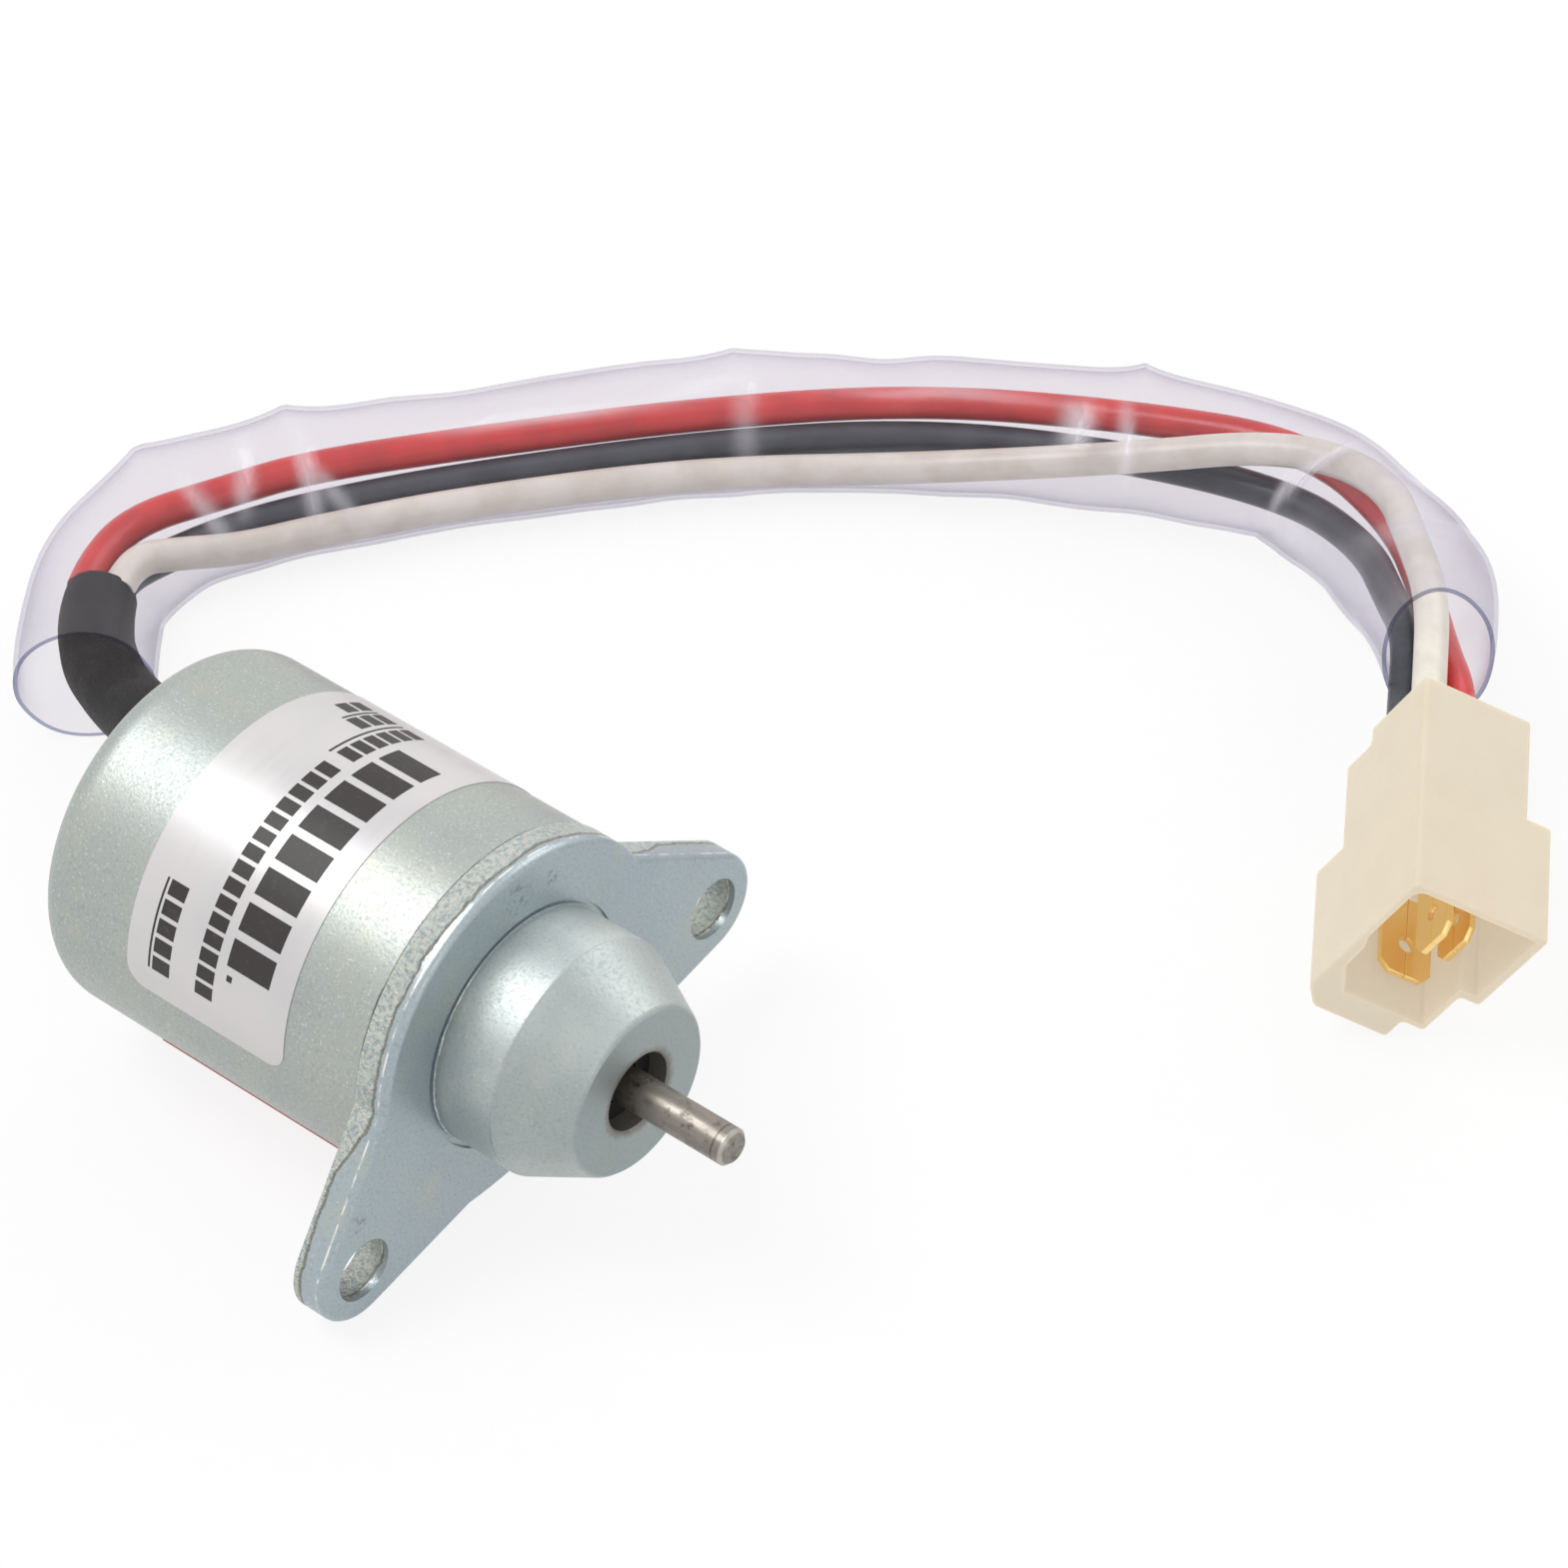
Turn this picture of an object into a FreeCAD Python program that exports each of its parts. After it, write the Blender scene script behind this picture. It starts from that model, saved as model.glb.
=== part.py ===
import FreeCAD, Part
import math
import os

# Fuel shutoff solenoid with a two-hole flange, flying leads and a three-way plug.
# Origin: on the solenoid's axis, at the front face of the flange. +X runs out
# along the push rod and +Z is up. The can and one ear rest on the table.

# Can.
CAN_R = 20.8
CAN_LENGTH = 46.4
CAN_WALL = 1.6
CAN_SHOULDER = 3.8

# Flange.
FLANGE_T = 4.0
DISC_LIP = 0.2
BOLT_SPACING = 56.0
BOLT_DROP = 10.8
BOLT_R = 3.62
EAR_R = 6.2
CORNER_TURN = 17.0
BULGE_HALF = 13.0
BULGE_SHORT = 1.9
DIE_ROLL = 0.8
COIN_GAP = 0.2
COIN_WIDTH = 0.5
COIN_DEPTH = 0.35

# Nose.
NOSE_R = 13.6
NOSE_BARREL = 7.8
NOSE_LENGTH = 15.75
NOSE_TIP_R = 9.7
NOSE_BORE_R = 4.5
NOSE_EDGE = 0.45
NOSE_WALL = 6.75
SPIGOT_WALL = 2.45
SPIGOT_REACH = 1.8

# Plunger and rod.
PLUNGER_SHARE = 0.4255
PLUNGER_LENGTH = 25.0
PLUNGER_CHAMFER = 0.8
STROKE = 12.0
ROD_R = 2.1
ROD_REACH = 12.75
ROD_CHAMFER = 0.5
ROD_SEAT = 11.0
ROD_PIN_R = 0.9
ROD_PIN_BACK = 5.5
ROD_PIN_SHORT = 0.5

# Pole and guide.
POLE_PROUD = 0.25
POLE_NECK_GAP = 0.3
POLE_NECK_LENGTH = 3.4
RESIDUAL_GAP = 0.25
SHIM_T = 0.4
GUIDE_CLEARANCE = 0.3
GUIDE_WALL = 0.4
GUIDE_OVERHANG = 2.0

# Coil.
BOBBIN_WALL = 0.8
BOBBIN_FLANGE = 1.2
BOBBIN_FLANGE_GAP = 1.2
BOBBIN_REAR_ROOM = 2.2
WINDING_RECESS = 1.0
HOLD_SHARE = 0.424
TAPE_T = 0.4
COIL_GAP = 0.05
SPRING_WASHER_T = 0.5
SPRING_WASHER_RISE = 0.7

# Front plate, bush, seal, bumper.
PLATE_T = 3.0
FIT_GAP = 0.05
BUSH_T = 3.0
BUSH_FLANGE_SHARE = 0.32
BUSH_FLANGE_T = 0.8
ROD_CLEARANCE = 0.3
SEAL_T = 1.2
BUMPER_T = 1.9
BUMPER_SHARE = 0.8
STOP_CLEARANCE = 0.1

# Return spring.
SPRING_R = 3.4
SPRING_WIRE = 0.8
SPRING_COILS = 8
SPRING_SIDES = 8
SPRING_BORE_R = 4.2
SPRING_SEAT = 8.0
SPRING_POCKET = 12.0
SPRING_END_GAP = 0.1

# Labels.
LABEL_T = 0.1
LABEL_CORNER = 2.5
NAMEPLATE_INSET = 14.0
NAMEPLATE_WIDTH = 22.3
NAMEPLATE_START_TURN = 20.0
NAMEPLATE_END_TURN = 177.0
UNDERSIDE_INSET = 13.4
UNDERSIDE_WIDTH = 29.0
UNDERSIDE_START_TURN = 209.0
UNDERSIDE_END_TURN = 261.0

# Cable exit.
EXIT_TURN = -15.0
EXIT_MARGIN = 0.1
BOOT_D = 8.6
GROMMET_NECK_R = 4.9
GROMMET_LIP_R = 5.3
GROMMET_LIP_IN = 0.7
GROMMET_LIP_OUT = 0.9
BOOT_TAIL = 0.2

# Leads and sleeve.
LEAD_D = 3.9
SLEEVE_D = 16.0
SLEEVE_WALL = 0.5
TRIAD_R = 2.45
TRIAD_TURN = 153.0

# Plug.
PLUG_PLACE = (47.43, 91.53, 28.59)
PLUG_TURN = (-56.23, 5.71, -31.65)
PLUG_LENGTH = 28.85
PLUG_BLOCK = (13.4, 10.8)
PLUG_STEP = 2.2
PLUG_STEP_V = 15.6
PLUG_KEEL = (5.6, 6.0, 19.6)
SHROUD_START = 13.6
SHROUD_U = 16.4
SHROUD_V = 13.2
SHROUD_WALL = 1.2
SHROUD_THIN = 0.8
KEY_START_U = 2.2
KEY_MID_U = 11.3
KEY_END_U = 14.0
KEY_MID_V = 20.2
KEY_END_V = 23.4
KEY_CORNER_V = 20.6
CAVITY_START = 14.8
CAVITY_FLOOR_V = 19.3
CAVITY_STEPS = [(3.6, 19.3), (1.5, 15.9), (1.4, 11.9), (0.8, 10.3)]
PLUG_EDGE = 0.5
BLACK_ENTRY = (5.2, 12.9)
WHITE_ENTRY = (5.4, 8.2)
RED_ENTRY = (9.7, 8.6)
BLACK_RUN = 9.8
WHITE_RUN = 8.0
RED_RUN = 8.0

# Blades.
BLADE_WIDTH = 6.3
BLADE_T = 0.8
BLADE_TIP = 1.2
BLADE_HOLE_R = 0.9
BLADE_HOLE_BACK = 4.2
BLADE_ROOT = 7.0
FLAT_BLADE = (6.5, 17.3, 25.2)
MID_BLADE = (8.2, 6.9, 26.2)
SIDE_BLADE = (11.6, 8.0, 24.8)

# Cord routes: x, y and the height over the table.
BOOT_ROUTE = [
    (-62.0, 11.2, 16.6),
    (-74.9, 16.4, 10.0),
    (-85.9, 21.8, 6.2),
    (-92.6, 27.8, 5.9),
    (-96.6, 35.2, 5.9),
]
SLEEVE_ROUTE = [
    (-83.4, 17.5, 8.0),
    (-89.8, 24.3, 8.0),
    (-94.2, 32.3, 8.0),
    (-94.8, 41.3, 8.0),
    (-91.8, 49.2, 8.0),
    (-86.2, 57.8, 8.0),
    (-75.9, 71.7, 8.0),
    (-57.3, 92.4, 8.0),
    (-37.4, 108.5, 8.0),
    (-15.9, 120.2, 8.0),
    (3.1, 127.1, 8.6),
    (17.0, 124.6, 11.0),
    (28.1, 116.5, 14.6),
    (37.1, 107.8, 18.6),
    (41.7, 102.1, 20.3),
]
RED_ROUTE = [
    (-99.5, 42.0, 6.9),
    (-95.7, 51.3, 6.1),
    (-90.1, 60.5, 6.8),
    (-79.2, 74.5, 6.3),
    (-60.3, 95.5, 6.4),
    (-40.3, 112.7, 7.2),
    (-18.1, 124.9, 7.7),
    (2.4, 131.8, 9.1),
    (18.4, 126.9, 9.3),
    (29.8, 117.0, 11.4),
    (38.6, 107.6, 14.7),
]
BLACK_ROUTE = [
    (-96.2, 41.5, 2.7),
    (-92.6, 49.6, 3.4),
    (-87.3, 58.6, 3.5),
    (-76.9, 72.6, 3.5),
    (-58.2, 93.3, 3.8),
    (-38.6, 110.3, 4.5),
    (-16.7, 122.0, 4.3),
    (3.4, 127.6, 4.7),
    (17.2, 123.0, 7.5),
    (27.0, 113.9, 11.7),
    (35.4, 105.6, 17.2),
]
WHITE_ROUTE = [
    (-92.2, 41.2, 6.0),
    (-89.0, 47.7, 3.7),
    (-83.6, 56.0, 3.7),
    (-73.5, 69.7, 3.7),
    (-55.2, 90.2, 3.6),
    (-35.5, 105.7, 3.8),
    (-14.7, 117.6, 7.9),
    (2.7, 127.7, 12.3),
    (17.0, 126.8, 15.1),
    (27.5, 117.3, 17.9),
    (36.5, 108.3, 21.4),
]

# Places that follow from the sizes.
TINY = 1e-4
TABLE_Z = -CAN_R
DISC_R = CAN_R + DISC_LIP
PLUNGER_R = CAN_R * PLUNGER_SHARE
CAN_FRONT = -FLANGE_T
CAN_REAR = CAN_FRONT - CAN_LENGTH
REAR_WALL = CAN_REAR + CAN_WALL
CAN_INNER_R = CAN_R - CAN_WALL
BOLT_REACH = math.hypot(BOLT_SPACING / 2, BOLT_DROP)
BULGE_RISE = CAN_R - BULGE_SHORT - BOLT_DROP - EAR_R
FLANGE_ROLL = (math.asin((CAN_R - EAR_R) / BOLT_REACH)
               - math.atan2(BOLT_DROP, BOLT_SPACING / 2))
FRONT_WALL = NOSE_LENGTH - NOSE_WALL
BUMPER_REAR = FRONT_WALL - BUMPER_T
PLUNGER_FRONT = BUMPER_REAR - STOP_CLEARANCE
PLUNGER_REAR = PLUNGER_FRONT - PLUNGER_LENGTH
EXIT_R = CAN_R - CAN_SHOULDER - GROMMET_LIP_R - EXIT_MARGIN
EXIT_Y = EXIT_R * math.cos(math.radians(EXIT_TURN))
EXIT_Z = EXIT_R * math.sin(math.radians(EXIT_TURN))
POLE_R = PLUNGER_R + POLE_PROUD
POLE_NECK_R = EXIT_R - GROMMET_LIP_R - POLE_NECK_GAP
POLE_FACE = PLUNGER_REAR - STROKE - RESIDUAL_GAP - SHIM_T
POLE_SHOULDER = REAR_WALL + POLE_NECK_LENGTH
GUIDE_INNER_R = PLUNGER_R + GUIDE_CLEARANCE
GUIDE_R = GUIDE_INNER_R + GUIDE_WALL
NOSE_CAVITY_R = GUIDE_INNER_R + COIL_GAP
NOSE_LEDGE = NOSE_CAVITY_R - NOSE_BORE_R
BUSH_FLANGE_R = NOSE_BORE_R + NOSE_LEDGE * BUSH_FLANGE_SHARE
BUMPER_R = NOSE_BORE_R + NOSE_LEDGE * BUMPER_SHARE
SPIGOT_R = GUIDE_R + SPIGOT_WALL
BOBBIN_INNER_R = GUIDE_R + COIL_GAP
BOBBIN_FLANGE_R = CAN_INNER_R - BOBBIN_FLANGE_GAP
WINDING_R = BOBBIN_FLANGE_R - WINDING_RECESS
BOBBIN_R = BOBBIN_INNER_R + BOBBIN_WALL
WINDING_STEP = WINDING_R - (WINDING_R - BOBBIN_R) * HOLD_SHARE
PLATE_REAR = CAN_FRONT - PLATE_T
BOBBIN_REAR = REAR_WALL + BOBBIN_REAR_ROOM
BOBBIN_FRONT = PLATE_REAR - SPRING_WASHER_RISE - SPRING_WASHER_T
SPIGOT_BACK = CAN_FRONT - SPIGOT_REACH
GUIDE_FRONT = GUIDE_OVERHANG
ROD_TIP = NOSE_LENGTH + ROD_REACH
ROD_BACK = PLUNGER_FRONT - ROD_SEAT
SPRING_FRONT = PLUNGER_REAR + SPRING_POCKET - SPRING_END_GAP
SPRING_REAR = POLE_FACE - SPRING_SEAT + SPRING_END_GAP


def ring(r_out, r_in, x0, x1):
    """A plain ring about the X axis."""
    body = Part.makeCylinder(r_out, x1 - x0, FreeCAD.Vector(x0, 0, 0), FreeCAD.Vector(1, 0, 0))
    if r_in <= 0:
        return body
    bore = Part.makeCylinder(r_in, x1 - x0, FreeCAD.Vector(x0, 0, 0), FreeCAD.Vector(1, 0, 0))
    return body.cut(bore)


def revolve(profile):
    """Turn an (x, r) outline about the X axis."""
    points = [FreeCAD.Vector(x, r, 0) for x, r in profile]
    face = Part.Face(Part.makePolygon(points + points[:1]))
    return face.revolve(FreeCAD.Vector(0, 0, 0), FreeCAD.Vector(1, 0, 0), 360)


def rims(shape, x, radius):
    """The circular edges of one radius in the plane x."""
    found = []
    for edge in shape.Edges:
        curve = edge.Curve
        if curve.TypeId != "Part::GeomCircle":
            continue
        if abs(curve.Center.x - x) < TINY and abs(curve.Radius - radius) < TINY:
            found.append(edge)
    return found


def housing_can():
    shell = ring(CAN_R, 0, CAN_REAR, CAN_FRONT)
    shell = shell.makeFillet(CAN_SHOULDER, rims(shell, CAN_REAR, CAN_R))
    room = ring(CAN_INNER_R, 0, REAR_WALL, CAN_FRONT)
    room = room.makeFillet(CAN_SHOULDER - CAN_WALL, rims(room, REAR_WALL, CAN_INNER_R))
    exit_hole = Part.makeCylinder(GROMMET_NECK_R, CAN_WALL * 3,
                                  FreeCAD.Vector(CAN_REAR - CAN_WALL, EXIT_Y, EXIT_Z),
                                  FreeCAD.Vector(1, 0, 0))
    return shell.cut(room).cut(exit_hole)


def flange_outline():
    """Points of the flange's edge in its own plane: s to an ear, t to the straight edge."""
    half = BOLT_SPACING / 2
    turn = math.radians(CORNER_TURN)
    corner = (DISC_R * math.cos(turn), -DISC_R * math.sin(turn))
    # The ear's sloping edge leaves the disc at the corner and touches the ear's circle.
    to_ear = math.atan2(BOLT_DROP - corner[1], half - corner[0])
    reach = math.hypot(BOLT_DROP - corner[1], half - corner[0])
    slope = to_ear - math.asin(EAR_R / reach)
    shoulder = (half + EAR_R * math.sin(slope), BOLT_DROP - EAR_R * math.cos(slope))
    return half, BOLT_DROP + EAR_R, shoulder, corner


def flange_face():
    half, low, shoulder, corner = flange_outline()

    def at(s, t):
        return FreeCAD.Vector(0, s, -t)

    def mirrored(point):
        return at(-point[0], point[1])

    ear_side = (half + EAR_R, BOLT_DROP)
    edges = [
        Part.Arc(at(*corner), at(0, -DISC_R), mirrored(corner)).toShape(),
        Part.LineSegment(mirrored(corner), mirrored(shoulder)).toShape(),
        Part.Arc(mirrored(shoulder), mirrored(ear_side), at(-half, low)).toShape(),
        Part.LineSegment(at(-half, low), at(-BULGE_HALF, low)).toShape(),
        Part.Arc(at(-BULGE_HALF, low), at(0, low + BULGE_RISE), at(BULGE_HALF, low)).toShape(),
        Part.LineSegment(at(BULGE_HALF, low), at(half, low)).toShape(),
        Part.Arc(at(half, low), at(*ear_side), at(*shoulder)).toShape(),
        Part.LineSegment(at(*shoulder), at(*corner)).toShape(),
    ]
    return Part.Face(Part.Wire(edges))


def rolled(shape):
    """Turn a shape from the flange's own plane to how it lies on the table."""
    turned = shape.copy()
    turned.rotate(FreeCAD.Vector(0, 0, 0), FreeCAD.Vector(1, 0, 0), math.degrees(FLANGE_ROLL))
    return turned


def mounting_flange():
    plate = flange_face().extrude(FreeCAD.Vector(-FLANGE_T, 0, 0))
    rim = [edge for edge in plate.Edges
           if abs(edge.BoundBox.XMin) < TINY and abs(edge.BoundBox.XMax) < TINY]
    plate = plate.makeFillet(DIE_ROLL, rim)
    plate = plate.cut(ring(SPIGOT_R, 0, -FLANGE_T, 0))
    coin_r = NOSE_R + COIN_GAP
    plate = plate.cut(ring(coin_r + COIN_WIDTH, coin_r, -COIN_DEPTH, COIN_DEPTH))
    for side in (-1, 1):
        plate = plate.cut(Part.makeCylinder(
            BOLT_R, FLANGE_T * 2,
            FreeCAD.Vector(-FLANGE_T * 1.5, side * BOLT_SPACING / 2, -BOLT_DROP),
            FreeCAD.Vector(1, 0, 0)))
    return rolled(plate)


def nose():
    body = revolve([
        (SPIGOT_BACK, GUIDE_R + COIL_GAP),
        (SPIGOT_BACK, SPIGOT_R),
        (0, SPIGOT_R),
        (0, NOSE_R),
        (NOSE_BARREL, NOSE_R),
        (NOSE_LENGTH - NOSE_EDGE, NOSE_TIP_R + NOSE_EDGE / 2),
        (NOSE_LENGTH, NOSE_TIP_R - NOSE_EDGE / 2),
        (NOSE_LENGTH, NOSE_BORE_R + NOSE_EDGE / 2),
        (NOSE_LENGTH - NOSE_EDGE / 2, NOSE_BORE_R),
        (FRONT_WALL, NOSE_BORE_R),
        (FRONT_WALL, NOSE_CAVITY_R),
        (GUIDE_FRONT + COIL_GAP, NOSE_CAVITY_R),
        (GUIDE_FRONT + COIL_GAP, GUIDE_R + COIL_GAP),
    ])
    return body


def pole_plate():
    return revolve([
        (PLATE_REAR, GUIDE_R + FIT_GAP),
        (PLATE_REAR, CAN_INNER_R - FIT_GAP),
        (CAN_FRONT, CAN_INNER_R - FIT_GAP),
        (CAN_FRONT, SPIGOT_R),
        (SPIGOT_BACK, SPIGOT_R),
        (SPIGOT_BACK, GUIDE_R + FIT_GAP),
    ])


def spring_washer():
    inner = GUIDE_R + SPRING_WASHER_T
    outer = BOBBIN_FLANGE_R - SPRING_WASHER_T
    return revolve([
        (BOBBIN_FRONT, inner),
        (BOBBIN_FRONT + SPRING_WASHER_RISE, outer),
        (BOBBIN_FRONT + SPRING_WASHER_RISE + SPRING_WASHER_T, outer),
        (BOBBIN_FRONT + SPRING_WASHER_T, inner),
    ])


def rod_bushing():
    inner = ROD_R + ROD_CLEARANCE
    return revolve([
        (FRONT_WALL - BUSH_FLANGE_T, inner),
        (FRONT_WALL - BUSH_FLANGE_T, BUSH_FLANGE_R),
        (FRONT_WALL, BUSH_FLANGE_R),
        (FRONT_WALL, NOSE_BORE_R),
        (FRONT_WALL + BUSH_T, NOSE_BORE_R),
        (FRONT_WALL + BUSH_T, inner),
    ])


def rod_seal():
    front = FRONT_WALL + BUSH_T
    return ring(NOSE_BORE_R, ROD_R + ROD_CLEARANCE, front, front + SEAL_T)


def bumper_ring():
    return ring(BUMPER_R, BUSH_FLANGE_R + FIT_GAP, BUMPER_REAR, FRONT_WALL)


def rear_pole():
    return revolve([
        (REAR_WALL, 0),
        (REAR_WALL, POLE_NECK_R),
        (POLE_SHOULDER, POLE_NECK_R),
        (POLE_SHOULDER, POLE_R),
        (POLE_FACE, POLE_R),
        (POLE_FACE, SPRING_BORE_R),
        (POLE_FACE - SPRING_SEAT, SPRING_BORE_R),
        (POLE_FACE - SPRING_SEAT, 0),
    ])


def pole_shim():
    return ring(POLE_R - SHIM_T, SPRING_BORE_R + SHIM_T, POLE_FACE, POLE_FACE + SHIM_T)


def guide_tube():
    return ring(GUIDE_R, GUIDE_INNER_R, POLE_SHOULDER, GUIDE_FRONT)


def bobbin():
    return revolve([
        (BOBBIN_REAR, BOBBIN_INNER_R),
        (BOBBIN_REAR, BOBBIN_FLANGE_R),
        (BOBBIN_REAR + BOBBIN_FLANGE, BOBBIN_FLANGE_R),
        (BOBBIN_REAR + BOBBIN_FLANGE, BOBBIN_R),
        (BOBBIN_FRONT - BOBBIN_FLANGE, BOBBIN_R),
        (BOBBIN_FRONT - BOBBIN_FLANGE, BOBBIN_FLANGE_R),
        (BOBBIN_FRONT, BOBBIN_FLANGE_R),
        (BOBBIN_FRONT, BOBBIN_INNER_R),
    ])


def coil_layer(r_in, r_out):
    """One layer wound between the bobbin's flanges."""
    rear = BOBBIN_REAR + BOBBIN_FLANGE + COIL_GAP
    front = BOBBIN_FRONT - BOBBIN_FLANGE - COIL_GAP
    return ring(r_out, r_in + COIL_GAP, rear, front)


def rod_pin_at():
    return PLUNGER_FRONT - ROD_PIN_BACK


def pin_hole():
    reach = PLUNGER_R - ROD_PIN_SHORT
    return Part.makeCylinder(ROD_PIN_R, 2 * reach, FreeCAD.Vector(rod_pin_at(), 0, -reach))


def plunger():
    body = revolve([
        (PLUNGER_REAR, SPRING_BORE_R),
        (PLUNGER_REAR, PLUNGER_R - PLUNGER_CHAMFER),
        (PLUNGER_REAR + PLUNGER_CHAMFER, PLUNGER_R),
        (PLUNGER_FRONT - PLUNGER_CHAMFER, PLUNGER_R),
        (PLUNGER_FRONT, PLUNGER_R - PLUNGER_CHAMFER),
        (PLUNGER_FRONT, ROD_R),
        (ROD_BACK, ROD_R),
        (ROD_BACK, 0),
        (PLUNGER_REAR + SPRING_POCKET, 0),
        (PLUNGER_REAR + SPRING_POCKET, SPRING_BORE_R),
    ])
    drill = Part.makeCylinder(ROD_PIN_R, 3 * PLUNGER_R,
                              FreeCAD.Vector(rod_pin_at(), 0, -1.5 * PLUNGER_R))
    return body.cut(drill)


def push_rod():
    rod = revolve([
        (ROD_BACK, 0),
        (ROD_BACK, ROD_R),
        (ROD_TIP - ROD_CHAMFER, ROD_R),
        (ROD_TIP, ROD_R - ROD_CHAMFER),
        (ROD_TIP, 0),
    ])
    return rod.cut(pin_hole())


def return_spring():
    """A coil drawn with short straight lengths of eight-sided wire, mitred where they meet."""
    length = SPRING_FRONT - SPRING_REAR - SPRING_WIRE
    steps = SPRING_COILS * SPRING_SIDES
    points = []
    for step in range(steps + 1):
        angle = 2 * math.pi * step / SPRING_SIDES
        points.append(FreeCAD.Vector(SPRING_REAR + SPRING_WIRE / 2 + length * step / steps,
                                     SPRING_R * math.cos(angle), SPRING_R * math.sin(angle)))
    ahead = (points[1] - points[0]).normalize()
    side = ahead.cross(FreeCAD.Vector(1, 0, 0)).normalize()
    over = side.cross(ahead)
    rim = []
    for corner in range(SPRING_SIDES):
        angle = 2 * math.pi * corner / SPRING_SIDES
        out = side * math.cos(angle) + over * math.sin(angle)
        rim.append(points[0] + out * (SPRING_WIRE / 2))
    section = Part.makePolygon(rim + rim[:1])
    return Part.makePolygon(points).makePipeShell([section], True, False, 1)


def corner_cutter(x, inward_x, inward_turn):
    """What rounds off one corner of a label that ends at angle zero."""
    margin = LABEL_CORNER / 4
    cutter = Part.makeBox(LABEL_CORNER + margin, 2 * LABEL_CORNER, LABEL_CORNER + margin,
                          FreeCAD.Vector(-margin, CAN_R - LABEL_CORNER, -margin))
    pillar = Part.makeCylinder(LABEL_CORNER, 2 * LABEL_CORNER,
                               FreeCAD.Vector(LABEL_CORNER, CAN_R - LABEL_CORNER, LABEL_CORNER),
                               FreeCAD.Vector(0, 1, 0))
    cutter = cutter.cut(pillar)
    origin = FreeCAD.Vector(0, 0, 0)
    if inward_x < 0:
        cutter = cutter.mirror(origin, FreeCAD.Vector(1, 0, 0))
    if inward_turn < 0:
        cutter = cutter.mirror(origin, FreeCAD.Vector(0, 0, 1))
    cutter.translate(FreeCAD.Vector(x, 0, 0))
    return cutter


def label(rear, width, start, end):
    """A thin skin on the can, between two angles about the axis, with rounded corners."""
    origin = FreeCAD.Vector(0, 0, 0)
    axis = FreeCAD.Vector(1, 0, 0)
    corners = [(rear, CAN_R), (rear + width, CAN_R), (rear + width, CAN_R + LABEL_T),
               (rear, CAN_R + LABEL_T)]
    points = [FreeCAD.Vector(x, r, 0) for x, r in corners]
    strip = Part.Face(Part.makePolygon(points + points[:1]))
    skin = strip.revolve(origin, axis, end - start)
    skin.rotate(origin, axis, start)
    for x, inward_x in ((rear, 1), (rear + width, -1)):
        for angle, inward_turn in ((start, 1), (end, -1)):
            cutter = corner_cutter(x, inward_x, inward_turn)
            cutter.rotate(origin, axis, angle)
            skin = skin.cut(cutter)
    return skin


def cable_grommet():
    reach = [
        (CAN_REAR - GROMMET_LIP_OUT, BOOT_D / 2),
        (CAN_REAR - GROMMET_LIP_OUT, GROMMET_LIP_R),
        (CAN_REAR, GROMMET_LIP_R),
        (CAN_REAR, GROMMET_NECK_R),
        (REAR_WALL, GROMMET_NECK_R),
        (REAR_WALL, GROMMET_LIP_R),
        (REAR_WALL + GROMMET_LIP_IN, GROMMET_LIP_R),
        (REAR_WALL + GROMMET_LIP_IN, BOOT_D / 2),
    ]
    bush = revolve(reach)
    bush.translate(FreeCAD.Vector(0, EXIT_Y, EXIT_Z))
    return bush


def over_table(points):
    return [FreeCAD.Vector(x, y, TABLE_Z + height) for x, y, height in points]


def route(points):
    """Straight runs joined by tangent arcs, each as large as its two runs allow."""
    edges = []
    radii = []
    begin = points[0]
    for before, corner, after in zip(points, points[1:], points[2:]):
        back = before - corner
        ahead = after - corner
        reach = 0.45 * min(back.Length, ahead.Length)
        turn = math.pi - back.getAngle(ahead)
        radii.append(reach / math.tan(turn / 2))
        back.normalize()
        ahead.normalize()
        arc_start = corner + back * reach
        arc_end = corner + ahead * reach
        inward = back + ahead
        inward.normalize()
        sagitta = radii[-1] * (1 / math.cos(turn / 2) - 1)
        edges.append(Part.LineSegment(begin, arc_start).toShape())
        edges.append(Part.Arc(arc_start, corner + inward * sagitta, arc_end).toShape())
        begin = arc_end
    edges.append(Part.LineSegment(begin, points[-1]).toShape())
    return Part.Wire(edges), radii


def tube(name, points, diameter):
    """A round tube along a route, with its length and bends printed."""
    path, radii = route(points)
    section = Part.Wire(Part.makeCircle(diameter / 2, points[0], points[1] - points[0]))
    solid = path.makePipeShell([section], True, False)
    ratio = solid.Volume / (path.Length * math.pi * diameter ** 2 / 4)
    bends = ", ".join("%.0f" % radius for radius in radii)
    print("%s: length %.1f, volume ratio %.4f, bend radii %s" % (name, path.Length, ratio, bends))
    return solid


def boot_points():
    start = FreeCAD.Vector(REAR_WALL + GROMMET_LIP_IN + BOOT_TAIL, EXIT_Y, EXIT_Z)
    return [start] + over_table(BOOT_ROUTE)


def clear_sleeve():
    points = over_table(SLEEVE_ROUTE)
    outer = tube("clear_sleeve", points, SLEEVE_D)
    inner = tube("clear_sleeve bore", points, SLEEVE_D - 2 * SLEEVE_WALL)
    return outer.cut(inner)


def plug_placement():
    place = over_table([PLUG_PLACE])[0]
    return FreeCAD.Placement(place, FreeCAD.Rotation(*PLUG_TURN))


def plug_point(a, u, v):
    """A place on the plug: a to the mouth, u and v across it from its top ridge."""
    return plug_placement().multVec(FreeCAD.Vector(a, u, -v))


def plug_box(a0, a1, u0, u1, v0, v1):
    return Part.makeBox(a1 - a0, u1 - u0, v1 - v0, FreeCAD.Vector(a0, u0, -v1))


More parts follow.
